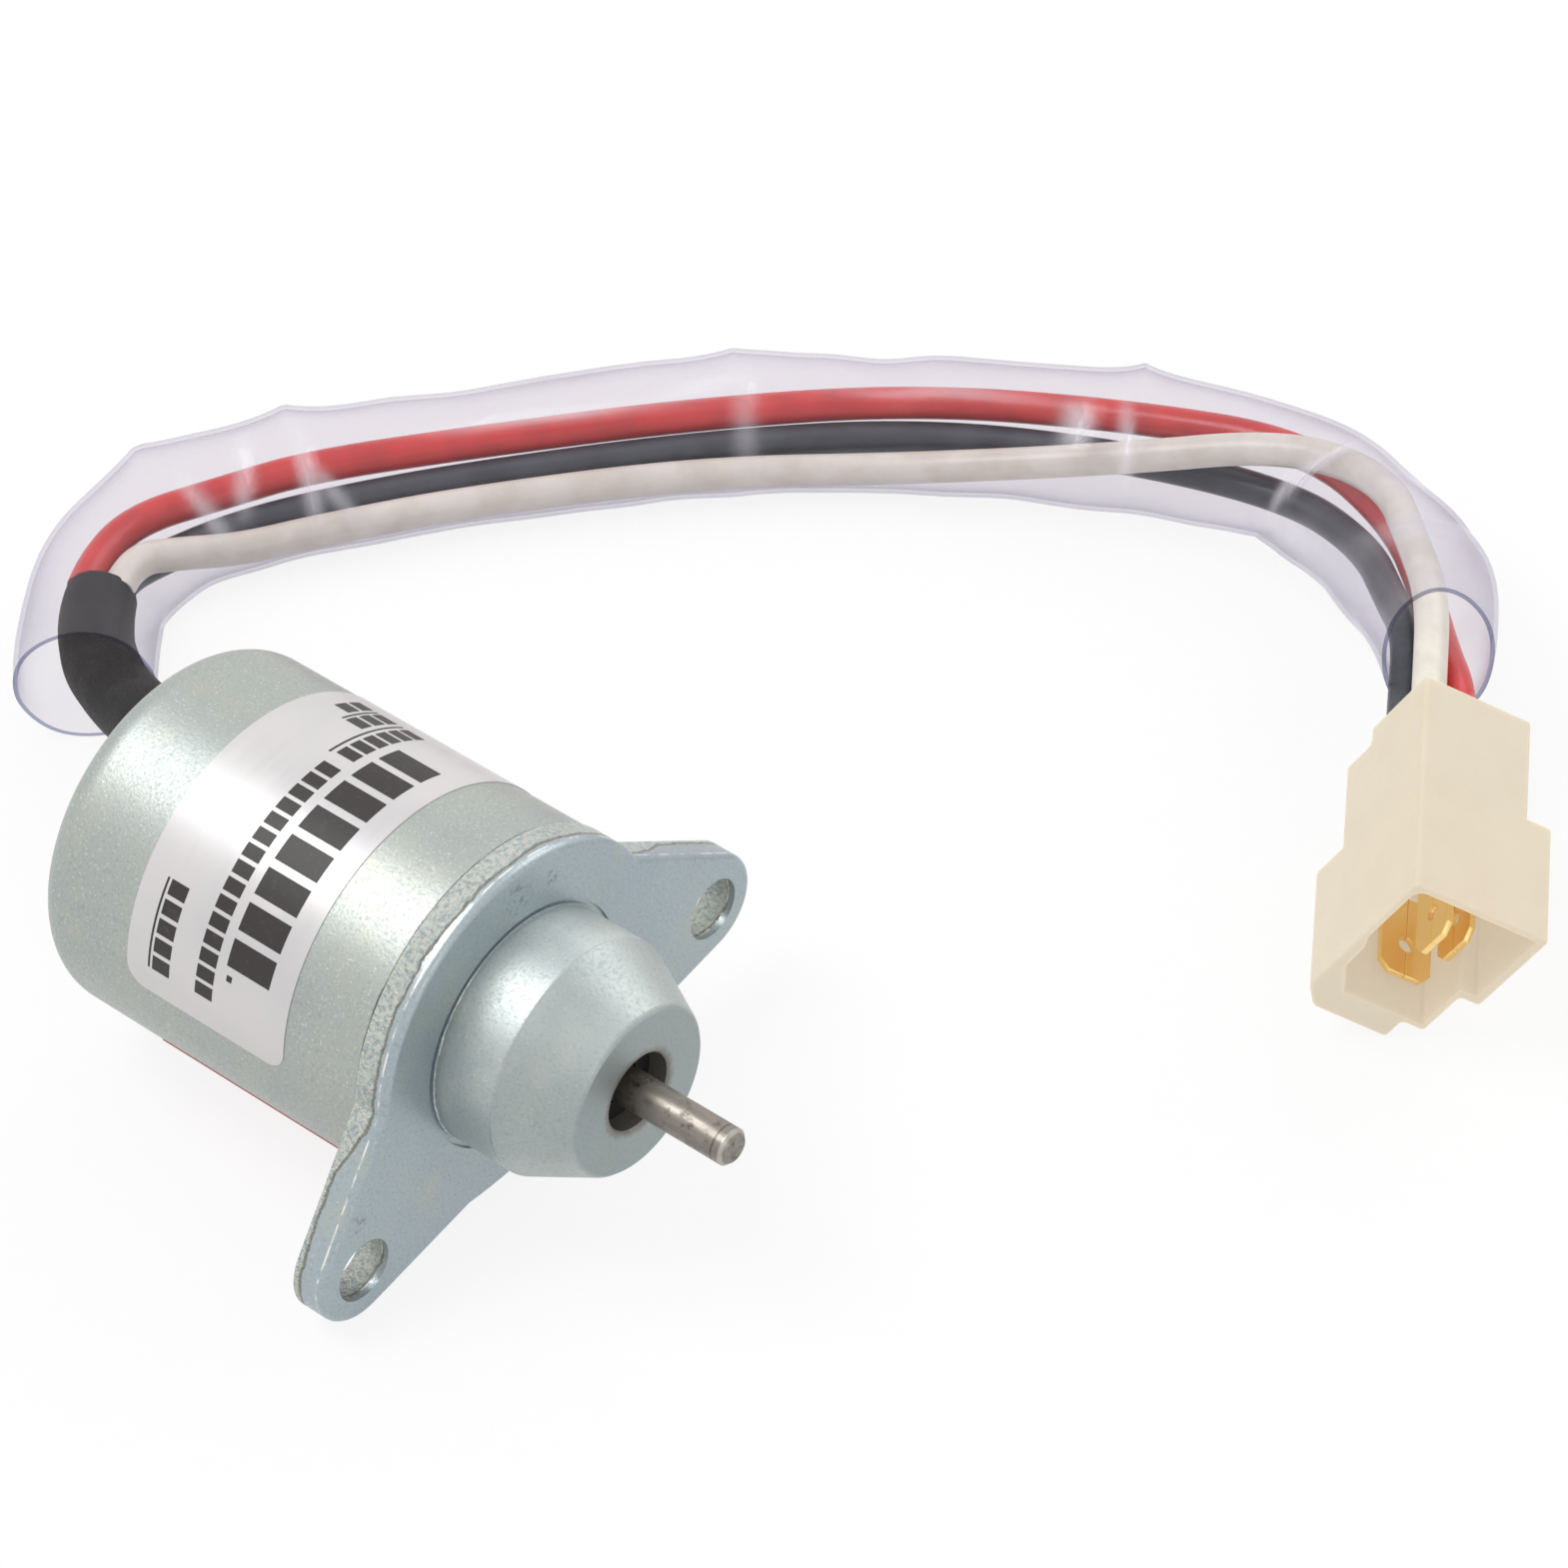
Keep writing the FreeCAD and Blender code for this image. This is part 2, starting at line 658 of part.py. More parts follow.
def plug_prism(outline, a0, a1):
    points = [FreeCAD.Vector(a0, u, -v) for u, v in outline]
    return Part.Face(Part.makePolygon(points + points[:1])).extrude(FreeCAD.Vector(a1 - a0, 0, 0))


def shroud_outline():
    """The mouth's keyed outline."""
    return [
        (0, 0),
        (SHROUD_U, 0),
        (SHROUD_U, SHROUD_V),
        (KEY_END_U, SHROUD_V),
        (KEY_END_U, KEY_MID_V),
        (KEY_MID_U, KEY_MID_V),
        (KEY_MID_U, KEY_END_V),
        (KEY_START_U, KEY_END_V),
        (0, KEY_CORNER_V),
    ]


def cavity_outline():
    """The mouth's opening, with thin walls by the top ridge and a stepped one on its left."""
    right = SHROUD_U - SHROUD_WALL
    low_right = KEY_END_U - SHROUD_THIN
    shelf = SHROUD_V - SHROUD_WALL
    return [
        (2 * SHROUD_THIN, SHROUD_THIN),
        (right, SHROUD_THIN),
        (right, shelf),
        (low_right, shelf),
        (low_right, CAVITY_FLOOR_V),
    ] + CAVITY_STEPS + [(SHROUD_THIN, 2 * SHROUD_THIN)]


def long_edges(shape):
    """The edges that run along the plug at its four outer corners."""
    return [edge for edge in shape.Edges
            if edge.BoundBox.YLength < TINY and edge.BoundBox.ZLength < TINY]


def connector_housing():
    block_u, block_v = PLUG_BLOCK
    body = plug_box(0, SHROUD_START, 0, block_u, 0, block_v)
    body = body.fuse(plug_box(PLUG_STEP, SHROUD_START, 0, block_u, 0, PLUG_STEP_V))
    keel_a, keel_u, keel_v = PLUG_KEEL
    body = body.fuse(plug_box(keel_a, SHROUD_START, keel_u, block_u, 0, keel_v))
    body = body.removeSplitter()
    shroud = plug_prism(shroud_outline(), SHROUD_START, PLUG_LENGTH)
    shroud = shroud.makeFillet(PLUG_EDGE, long_edges(shroud))
    shroud = shroud.cut(plug_prism(cavity_outline(), CAVITY_START, PLUG_LENGTH))
    body = body.fuse(shroud).removeSplitter()
    for blade in blade_solids():
        body = body.cut(blade)
    body.Placement = plug_placement()
    return body


def blade(width_axis, tip):
    """A blade along a, its width across u or v, with a chamfered tip and a detent hole."""
    half = BLADE_WIDTH / 2
    outline = [
        (BLADE_ROOT, -half), (tip - BLADE_TIP, -half), (tip, -half + BLADE_TIP),
        (tip, half - BLADE_TIP), (tip - BLADE_TIP, half), (BLADE_ROOT, half),
    ]
    points = [FreeCAD.Vector(a, w, 0) for a, w in outline]
    plate = Part.Face(Part.makePolygon(points + points[:1])).extrude(FreeCAD.Vector(0, 0, BLADE_T))
    hole = Part.makeCylinder(BLADE_HOLE_R, BLADE_T, FreeCAD.Vector(tip - BLADE_HOLE_BACK, 0, 0))
    plate = plate.cut(hole)
    plate.translate(FreeCAD.Vector(0, half, -BLADE_T))
    if width_axis == "v":
        plate.rotate(FreeCAD.Vector(0, 0, 0), FreeCAD.Vector(1, 0, 0), -90)
        plate.translate(FreeCAD.Vector(0, BLADE_T, 0))
    return plate


def blade_solids():
    """The three blades in the plug's own frame: flat, middle and side."""
    solids = []
    for axis, (u, v, tip) in (("u", FLAT_BLADE), ("v", MID_BLADE), ("v", SIDE_BLADE)):
        solid = blade(axis, tip)
        solid.translate(FreeCAD.Vector(0, u, -v))
        solids.append(solid)
    return solids


def placed_blade(index):
    solid = blade_solids()[index]
    solid.Placement = plug_placement().multiply(solid.Placement)
    return solid


def triad(index):
    """Where a lead leaves the boot: the three sit in a triangle on its end face."""
    end, before = boot_points()[-1], boot_points()[-2]
    ahead = (end - before).normalize()
    side = ahead.cross(FreeCAD.Vector(0, 0, 1)).normalize()
    over = side.cross(ahead)
    angle = math.radians(TRIAD_TURN + 120 * index)
    return end + side * (TRIAD_R * math.cos(angle)) + over * (TRIAD_R * math.sin(angle))


def lead(name, index, middle, entry, face, run):
    """A lead from the boot's end to the plug's back, entering it square."""
    u, v = entry
    points = [triad(index)] + over_table(middle)
    points += [plug_point(face - run, u, v), plug_point(face, u, v)]
    print(name, "ends", [tuple(round(c, 2) for c in p) for p in (points[0], points[-2], points[-1])])
    return tube(name, points, LEAD_D)


SOLIDS = {
    "housing_can": housing_can(),
    "mounting_flange": mounting_flange(),
    "nose": nose(),
    "rod_bushing": rod_bushing(),
    "rod_seal": rod_seal(),
    "bumper_ring": bumper_ring(),
    "pole_plate": pole_plate(),
    "spring_washer": spring_washer(),
    "rear_pole": rear_pole(),
    "pole_shim": pole_shim(),
    "guide_tube": guide_tube(),
    "bobbin": bobbin(),
    "pull_winding": coil_layer(BOBBIN_R, WINDING_STEP),
    "hold_winding": coil_layer(WINDING_STEP, WINDING_R),
    "coil_tape": coil_layer(WINDING_R, WINDING_R + TAPE_T),
    "plunger": plunger(),
    "push_rod": push_rod(),
    "rod_pin": pin_hole(),
    "return_spring": return_spring(),
    "nameplate_label": label(CAN_REAR + NAMEPLATE_INSET, NAMEPLATE_WIDTH,
                             NAMEPLATE_START_TURN, NAMEPLATE_END_TURN),
    "underside_label": label(CAN_REAR + UNDERSIDE_INSET, UNDERSIDE_WIDTH,
                             UNDERSIDE_START_TURN, UNDERSIDE_END_TURN),
    "cable_grommet": cable_grommet(),
    "lead_boot": tube("lead_boot", boot_points(), BOOT_D),
    "clear_sleeve": clear_sleeve(),
    "red_lead": lead("red_lead", 0, RED_ROUTE, RED_ENTRY, 0, RED_RUN),
    "black_lead": lead("black_lead", 1, BLACK_ROUTE, BLACK_ENTRY, PLUG_STEP, BLACK_RUN),
    "white_lead": lead("white_lead", 2, WHITE_ROUTE, WHITE_ENTRY, 0, WHITE_RUN),
    "connector_housing": connector_housing(),
    "ground_blade": placed_blade(0),
    "pull_blade": placed_blade(1),
    "hold_blade": placed_blade(2),
}

os.makedirs("parts", exist_ok=True)
for node, solid in SOLIDS.items():
    solid.exportStep("parts/%s.step" % node)
    box = solid.BoundBox
    print("%-18s solids %d volume %9.1f x %.1f..%.1f y %.1f..%.1f z %.1f..%.1f valid %s" % (
        node, len(solid.Solids), solid.Volume, box.XMin, box.XMax, box.YMin, box.YMax,
        box.ZMin, box.ZMax, solid.isValid()))
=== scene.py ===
"""Looks of a fuel shutoff solenoid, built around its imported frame.

Every length is in metres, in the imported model's own frame: the origin lies on the
solenoid's axis at the front face of its flange, +X runs out along the push rod and
+Z is up. The table is the plane on which the can and one ear of the flange rest.
"""

import logging
import math
import random
from dataclasses import dataclass, field
from enum import Enum
from typing import Any, Iterable, Sequence

import bmesh
import bpy
from mathutils import Matrix, Vector, noise


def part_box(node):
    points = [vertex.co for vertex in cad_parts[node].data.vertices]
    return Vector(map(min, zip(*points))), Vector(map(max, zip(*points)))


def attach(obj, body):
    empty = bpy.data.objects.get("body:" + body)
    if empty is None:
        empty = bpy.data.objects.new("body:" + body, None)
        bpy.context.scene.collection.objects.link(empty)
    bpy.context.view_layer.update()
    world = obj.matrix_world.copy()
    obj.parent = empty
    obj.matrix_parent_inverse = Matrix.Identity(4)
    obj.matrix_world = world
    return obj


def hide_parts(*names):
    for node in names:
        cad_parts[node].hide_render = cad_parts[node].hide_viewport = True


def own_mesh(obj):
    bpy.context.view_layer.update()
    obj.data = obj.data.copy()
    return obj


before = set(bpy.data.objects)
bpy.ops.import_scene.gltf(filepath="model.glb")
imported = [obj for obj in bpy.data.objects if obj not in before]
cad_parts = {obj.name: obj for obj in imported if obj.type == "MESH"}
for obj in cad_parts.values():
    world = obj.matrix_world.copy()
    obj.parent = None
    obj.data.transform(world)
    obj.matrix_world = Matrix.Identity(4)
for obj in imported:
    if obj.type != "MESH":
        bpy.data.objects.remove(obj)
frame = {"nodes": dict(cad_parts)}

LOG = logging.getLogger("fuel_shutoff_solenoid")

Colour = tuple[float, float, float]
Point = tuple[float, float, float]

WHITE: Colour = (1.0, 1.0, 1.0)
# The height of the table's top, on which the can rests.
TABLE_Z = -0.0208
# How close two places in the plug's own frame, in millimetres, count as one.
NEAR_MM = 1e-4


class Body(Enum):
    """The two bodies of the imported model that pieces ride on."""

    HOUSING = "housing"
    PLUNGER = "plunger"


class Slot(Enum):
    """Names of material slots, which the cords keep and nothing reads."""

    ZINC_NOSE = "zinc_nose"
    BLADE_BRASS = "blade_brass"
    RUBBER = "black_rubber"
    RED = "red_insulation"
    BLACK = "black_insulation"
    WHITE = "white_insulation"
    VINYL = "clear_vinyl"
    NYLON = "natural_nylon"
    LABEL_SILVER = "label_silver"
    SPRING_STEEL = "spring_steel"


def hex_colour(code: str) -> Colour:
    """Turn a display colour such as "c0c8c8" into the linear one that shaders take.

    Args:
        code: Six hexadecimal digits.

    Returns:
        The three linear parts of the colour.
    """
    parts = [int(code[i:i + 2], 16) / 255 for i in (0, 2, 4)]
    linear = [c / 12.92 if c <= 0.04045 else ((c + 0.055) / 1.055) ** 2.4 for c in parts]
    return linear[0], linear[1], linear[2]


def tints(*codes: str) -> list[Colour]:
    """Turn several display colours into linear ones."""
    return [hex_colour(code) for code in codes]


def placed(name: str, data: bpy.types.ID) -> bpy.types.Object:
    """Put an object of a mesh, curve, lamp or camera into the scene."""
    made = bpy.data.objects.new(name, data)
    bpy.context.scene.collection.objects.link(made)
    return made


def eye_rays(tree: bpy.types.NodeTree) -> bpy.types.NodeSocket:
    """What is 1 for rays from the camera, a glossy surface or clear film, and else 0."""
    path = tree.nodes.new("ShaderNodeLightPath")
    seen = path.outputs["Is Camera Ray"]
    for name in ("Is Glossy Ray", "Is Transmission Ray"):
        most = tree.nodes.new("ShaderNodeMath")
        most.operation = "MAXIMUM"
        tree.links.new(seen, most.inputs[0])
        tree.links.new(path.outputs[name], most.inputs[1])
        seen = most.outputs[0]
    return seen


def parts_of(geometry: Iterable[Any], kind: type) -> list[Any]:
    """The vertices, edges or faces among what a bmesh operator gives back."""
    return [part for part in geometry if isinstance(part, kind)]


def extrude(mesh: bmesh.types.BMesh, face: bmesh.types.BMFace, way: Vector
            ) -> list[bmesh.types.BMVert]:
    """Extrude a face along a way.

    Args:
        mesh: The face's mesh.
        face: The face.
        way: How far and where to.

    Returns:
        The new vertices.
    """
    grown = bmesh.ops.extrude_face_region(mesh, geom=[face])["geom"]
    verts = parts_of(grown, bmesh.types.BMVert)
    bmesh.ops.translate(mesh, vec=way, verts=verts)
    return verts


def round_edges(mesh: bmesh.types.BMesh, edges: list[bmesh.types.BMEdge], offset: float,
                segments: int = 3) -> None:
    """Round edges off by an offset, if there is one."""
    if offset:
        bmesh.ops.bevel(mesh, geom=edges, offset=offset, offset_type="OFFSET", affect="EDGES",
                        segments=segments, profile=0.5, material=-1, clamp_overlap=True)


def turn_about_axis(mesh: bmesh.types.BMesh, verts: Sequence[bmesh.types.BMVert],
                    degrees: float) -> None:
    """Turn vertices about the X axis."""
    bmesh.ops.rotate(mesh, verts=verts, cent=(0, 0, 0),
                     matrix=Matrix.Rotation(math.radians(degrees), 3, "X"))


def spin_about_axis(mesh: bmesh.types.BMesh, faces: Sequence[bmesh.types.BMFace],
                    degrees: float, steps: int, lead: float = 0.0) -> None:
    """Spin a cross-section about the X axis into a bent bar.

    Args:
        mesh: The mesh that it is in.
        faces: The cross-section.
        degrees: How far it is spun.
        steps: In how many lengths.
        lead: How far each length climbs along the axis.
    """
    bmesh.ops.spin(mesh, geom=faces, cent=(0, 0, 0), axis=(1, 0, 0), dvec=(lead, 0.0, 0.0),
                   angle=math.radians(degrees), steps=steps, use_duplicate=False)


class Surface:
    """A material's node tree, with short calls for the nodes that the finishes use."""

    def __init__(self, name: str) -> None:
        """Make an empty principled material of that name."""
        self.material = bpy.data.materials.new(name)
        self.material.use_nodes = True
        self.tree = self.material.node_tree
        self.shader = self.tree.nodes["Principled BSDF"]
        self.output = self.tree.nodes["Material Output"]
        coordinates = self.add("ShaderNodeTexCoord")
        self.place = coordinates.outputs["Object"]
        self.normal = coordinates.outputs["Normal"]

    def add(self, kind: str, **settings: Any) -> bpy.types.Node:
        """Add a node of a kind and set the given properties on it."""
        made = self.tree.nodes.new(kind)
        for key, value in settings.items():
            setattr(made, key, value)
        return made

    def feed(self, socket: bpy.types.NodeSocket, value: Any) -> None:
        """Link a socket to another one, or set a plain value on it.

        Args:
            socket: The input to feed.
            value: An output socket, a number or a colour.
        """
        if isinstance(value, bpy.types.NodeSocket):
            self.tree.links.new(value, socket)
        elif isinstance(value, tuple) and len(value) == 3 and socket.type == "RGBA":
            socket.default_value = (*value, 1.0)
        else:
            socket.default_value = value

    def set(self, **inputs: Any) -> None:
        """Feed the principled shader's inputs, with underscores for the spaces in names."""
        for key, value in inputs.items():
            self.feed(self.shader.inputs[key.replace("_", " ")], value)

    def stretched(self, scale: Point) -> Any:
        """Coordinates stretched along the axes, for patterns longer one way than another."""
        mapping = self.add("ShaderNodeMapping")
        self.feed(mapping.inputs["Vector"], self.place)
        mapping.inputs["Scale"].default_value = scale
        return mapping.outputs["Vector"]

    def noise(self, scale: float, detail: float = 3.0, rough: float = 0.55,
              place: Any = None) -> Any:
        """A noise pattern, with as many bumps per metre as its scale says."""
        made = self.add("ShaderNodeTexNoise")
        self.feed(made.inputs["Vector"], place or self.place)
        made.inputs["Scale"].default_value = scale
        made.inputs["Detail"].default_value = detail
        made.inputs["Roughness"].default_value = rough
        return made.outputs["Fac"]

    def calc(self, operation: str, a: Any, b: Any = 0.0, clamp: bool = False) -> Any:
        """One arithmetic step on numbers or sockets."""
        made = self.add("ShaderNodeMath", operation=operation, use_clamp=clamp)
        self.feed(made.inputs[0], a)
        self.feed(made.inputs[1], b)
        return made.outputs[0]

    def times(self, a: Any, b: Any) -> Any:
        """The product of two numbers or sockets."""
        return self.calc("MULTIPLY", a, b)

    def minus(self, a: Any, b: Any) -> Any:
        """The difference of two numbers or sockets."""
        return self.calc("SUBTRACT", a, b)

    def off(self, value: Any, at: float) -> Any:
        """How far a value lies from a place, on either side."""
        return self.calc("ABSOLUTE", self.minus(value, at))

    def span(self, value: Any, low: float, high: float, to_low: float = 0.0,
             to_high: float = 1.0) -> Any:
        """Map a range onto another one, smoothly and with clamped ends."""
        made = self.add("ShaderNodeMapRange", interpolation_type="SMOOTHSTEP")
        self.feed(made.inputs["Value"], value)
        for key, number in (("From Min", low), ("From Max", high),
                            ("To Min", to_low), ("To Max", to_high)):
            made.inputs[key].default_value = number
        return made.outputs["Result"]

    def blend(self, share: Any, a: Any, b: Any) -> Any:
        """Mix two colours by a share."""
        made = self.add("ShaderNodeMix", data_type="RGBA")
        self.feed(made.inputs[0], share)
        self.feed(made.inputs[6], a)
        self.feed(made.inputs[7], b)
        return made.outputs[2]

    def axis_of(self, vector: Any, name: str) -> Any:
        """One part of a vector."""
        made = self.add("ShaderNodeSeparateXYZ")
        self.feed(made.inputs[0], vector)
        return made.outputs[name]

    def axis(self, name: str) -> Any:
        """One coordinate of the place on the object."""
        return self.axis_of(self.place, name)

    def squared_from(self, across: float, up: float) -> Any:
        """The squared distance from a line along the axis, across and up from it."""
        side = self.minus(self.axis("Y"), across)
        over = self.minus(self.axis("Z"), up)
        return self.calc("ADD", self.times(side, side), self.times(over, over))

    def colour(self) -> Any:
        """The colour that the surface has so far, for a mark to be laid on it."""
        return self.shader.inputs["Base Color"].links[0].from_socket

    def mix(self, share: Any, first: bpy.types.Node, second: bpy.types.Node) -> None:
        """Show two shaders as one surface, by the share of the second."""
        mixed = self.add("ShaderNodeMixShader")
        for number, value in enumerate((share, first.outputs[0], second.outputs[0])):
            self.feed(mixed.inputs[number], value)
        self.feed(self.output.inputs["Surface"], mixed.outputs[0])

    def bump(self, height: Any, distance: float, strength: float = 1.0) -> None:
        """Raise the surface by a pattern, on top of the bumps it already has."""
        made = self.add("ShaderNodeBump")
        self.feed(made.inputs["Height"], height)
        made.inputs["Distance"].default_value = distance
        made.inputs["Strength"].default_value = strength
        normal = self.shader.inputs["Normal"]
        if normal.is_linked:
            self.feed(made.inputs["Normal"], normal.links[0].from_socket)
        self.feed(normal, made.outputs["Normal"])


@dataclass(frozen=True)
class ZincPlate:
    """Clear zinc plate: satin metal with a fine grain, painted glints of single crystals and
    faint tints.

    Attributes:
        name: The material's name.
        base: The metal's main colour.
        warm: The tint of the thicker film, in broad patches.
        cool: The tint of the thinner film.
        dark: The colour in the pits of the grain.
        rough: The mean roughness.
        grain: How many grains lie along a metre.
        depth: How deep the grain is.
        painted_glint: How strong the painted glints of single crystals are, white mixed into the
            colour.
        metal: How metallic it looks.
    """

    name: str
    base: Colour
    warm: Colour
    cool: Colour
    dark: Colour
    rough: float = 0.42
    grain: float = 2600.0
    depth: float = 0.00004
    painted_glint: float = 0.30
    metal: float = 0.72

    def surface(self) -> Surface:
        """Build the plate's node tree."""
        made = Surface(self.name)
        patches = made.noise(45.0, 3.0, 0.55)
        films = made.noise(140.0, 4.0, 0.6)
        tint = made.blend(made.span(patches, 0.42, 0.64, 0.0, 0.55), self.base, self.cool)
        tint = made.blend(made.span(films, 0.50, 0.72, 0.0, 0.50), tint, self.warm)
        fine = made.noise(self.grain, 3.0, 0.65)
        tint = made.blend(made.span(fine, 0.30, 0.50, 0.32, 0.0), tint, self.dark)
        # Painted glints: white spots mixed into the colour where single crystals would catch the
        # light.
        glints = made.span(made.noise(self.grain * 1.3, 2.0, 0.6), 0.58, 0.72)
        made.set(
            Base_Color=made.blend(made.times(glints, self.painted_glint), tint, WHITE),
            Metallic=self.metal,
            Roughness=made.span(fine, 0.3, 0.7, self.rough + 0.07, self.rough - 0.07),
        )
        made.bump(fine, self.depth, 0.7)
        made.bump(films, 0.00010, 0.2)
        return made


@dataclass(frozen=True)
class DrawnZinc(ZincPlate):
    """Zinc plate on the drawn can, with a painted shadow in the seam where it meets the flange.

    Attributes:
        seam: Where the seam lies along the axis.
        seam_shadow: The colour of the painted shadow in the seam.
    """

    seam: float = -0.0040
    seam_shadow: Colour = (0.05, 0.055, 0.055)

    def surface(self) -> Surface:
        """Build the can's node tree, then the uneven painted shadow along the seam."""
        made = super().surface()
        # Painted shadow of the flange's edge on the can: a ragged dark band along the can's front
        # edge, wider towards the top.
        ragged = made.noise(260.0, 4.0, 0.65)
        reach = made.span(made.axis("Z"), -0.004, 0.016, 0.00012, 0.00062)
        edge = made.minus(self.seam, made.times(ragged, reach))
        seam_shadowed = made.span(made.minus(made.axis("X"), edge), -0.00005, 0.00012, 0.0, 0.85)
        made.set(Base_Color=made.blend(seam_shadowed, made.colour(), self.seam_shadow))
        return made


@dataclass(frozen=True)
class ShearedZinc(ZincPlate):
    """Zinc plate on the stamped flange, whose edge shows the punch's shear and fracture.

    Attributes:
        roll: How far behind the front face the rounded edge turns into the smooth shear.
        shear: How far behind it the shear turns into fracture round the can.
        ear_shear: The same on the ears.
        hole_shear: The same in the bolt holes.
        ears: The squared distances from the axis between which the ears begin.
        holes: The middles of the bolt holes, across and up.
        hole_reach: The squared distances from a hole's middle between which its wall ends.
        wander: How far the line where the fracture begins wanders.
        teeth: How long the small teeth on that line are.
        fracture: The colour of the torn metal.
        shaded_groove: The colour of the painted shade in the ragged groove where it begins.
        line: The colour of the painted highlight, a bright line along the rounded edge where the
            shear begins.
        smudge: The colour of the marks on the face.
        smudges: The middles of the marks, across and up, and how wide they are.
    """

    roll: float = 0.00085
    shear: float = 0.0013
    ear_shear: float = 0.0030
    hole_shear: float = 0.0006
    ears: tuple[float, float] = (0.00046, 0.00066)
    holes: tuple[tuple[float, float], ...] = ((-0.02622, -0.01460), (0.02923, -0.00679))
    hole_reach: tuple[float, float] = (0.000016, 0.000020)
    wander: float = 0.0016
    teeth: float = 0.0007
    fracture: Colour = (0.62, 0.62, 0.52)
    shaded_groove: Colour = (0.16, 0.15, 0.12)
    line: Colour = (1.0, 0.98, 0.90)
    smudge: Colour = (0.20, 0.21, 0.24)
    smudges: tuple[tuple[float, float, float], ...] = (
        (0.0010, 0.0175, 0.0022), (0.0065, 0.0165, 0.0012), (-0.0262, -0.0075, 0.0014))

    def fracture_line(self, made: Surface) -> Any:
        """How far behind the front face the fracture begins at each place."""
        start = made.span(made.squared_from(0.0, 0.0), *self.ears, self.shear, self.ear_shear)
        for across, up in self.holes:
            outside = made.span(made.squared_from(across, up), *self.hole_reach)
            inside = made.times(made.minus(1.0, outside), self.hole_shear)
            start = made.calc("ADD", made.times(start, outside), inside)
        waves = made.times(made.minus(made.noise(130.0, 2.0, 0.5), 0.5), self.wander)
        teeth = made.times(made.minus(made.noise(900.0, 4.0, 0.7), 0.5), self.teeth)
        return made.calc("ADD", made.calc("ADD", start, waves), teeth)

    def smudged(self, made: Surface, colour: Any) -> Any:
        """Lay the marks on the face over a colour."""
        cloud = made.span(made.noise(1100.0, 4.0, 0.7), 0.48, 0.62, 0.0, 0.8)
        for across, up, wide in self.smudges:
            spot = made.span(made.squared_from(across, up), (wide * 1.2) ** 2, (wide * 0.2) ** 2)
            colour = made.blend(made.times(spot, cloud), colour, self.smudge)
        return colour

    def surface(self) -> Surface:
        """Build the flange's node tree: its faces, then the bands on its cut edge."""
        made = super().surface()
        depth = made.times(made.axis("X"), -1.0)
        behind = made.minus(depth, self.fracture_line(made))
        on_edge = made.span(made.off(made.axis_of(made.normal, "X"), 0.0), 0.75, 0.35)
        torn = made.times(made.span(behind, 0.0, 0.00006), on_edge)
        # Painted shade in the ragged groove where the fracture begins; the same mask sinks the
        # groove.
        shaded_groove = made.times(torn, made.span(behind, 0.00050, 0.00022))
        crumbs = made.noise(1900.0, 4.0, 0.7)
        rough = made.times(torn, made.span(crumbs, 0.35, 0.65, 0.1, 0.8))
        colour = made.blend(rough, made.colour(), self.fracture)
        pits = made.times(torn, made.span(crumbs, 0.50, 0.38, 0.0, 0.30))
        colour = made.blend(pits, colour, self.dark)
        colour = made.blend(made.times(shaded_groove, 0.78), colour, self.shaded_groove)
        # Painted highlight: a broken bright line where the rounded edge meets the shear.
        line = made.times(made.span(made.off(depth, self.roll), 0.00016, 0.00004),
                          made.span(made.noise(520.0, 3.0, 0.6), 0.40, 0.58))
        line = made.times(made.times(line, on_edge), 0.75)
        made.set(Base_Color=self.smudged(made, made.blend(line, colour, self.line)))
        made.bump(made.times(torn, crumbs), 0.0005, 0.9)
        made.bump(made.minus(1.0, shaded_groove), 0.00025, 0.9)
        return made


@dataclass(frozen=True)
class TurnedZinc(ZincPlate):
    """Zinc plate on the turned nose, with a calm front face and a darker cone.

    Attributes:
        face: Where the front face lies along the axis.
        cone: Where the cone begins along the axis.
        rust: The colour of the stain at the bore.
        bore: The bore's radius.
        lip: How far the stain reaches from the bore, as a difference of squared radii.
        ragged: How much farther it reaches in places.
    """

    face: float = 0.01575
    cone: float = 0.0078
    rust: Colour = (0.16, 0.11, 0.08)
    bore: float = 0.0045
    lip: float = 0.000004
    ragged: float = 0.000012

    def surface(self) -> Surface:
        """Build the nose's node tree, with turning marks and a calm front face."""
        made = super().surface()
        along = made.axis("X")
        front = made.span(along, self.face - 0.0004, self.face - 0.0001, 0.0, 0.7)
        colour = made.blend(front, made.colour(), self.cool)
        beyond = made.span(along, self.cone - 0.0003, self.cone + 0.0003, 0.0, 0.42)
        colour = made.blend(beyond, colour, self.dark)
        seam = made.span(made.off(along, self.cone), 0.0004, 0.0001, 0.0, 0.14)
        colour = made.blend(seam, colour, self.dark)
        ragged = made.times(made.noise(600.0, 4.0, 0.7), self.ragged)
        stain = made.span(made.minus(made.squared_from(0.0, 0.0), ragged),
                          self.bore ** 2 + self.lip, self.bore ** 2 - self.lip, 0.0, 0.55)
        made.set(Base_Color=made.blend(stain, colour, self.rust))
        made.bump(made.noise(900.0, 2.0, 0.5, made.stretched((6.0, 0.2, 0.2))), 0.00003, 0.25)
        return made


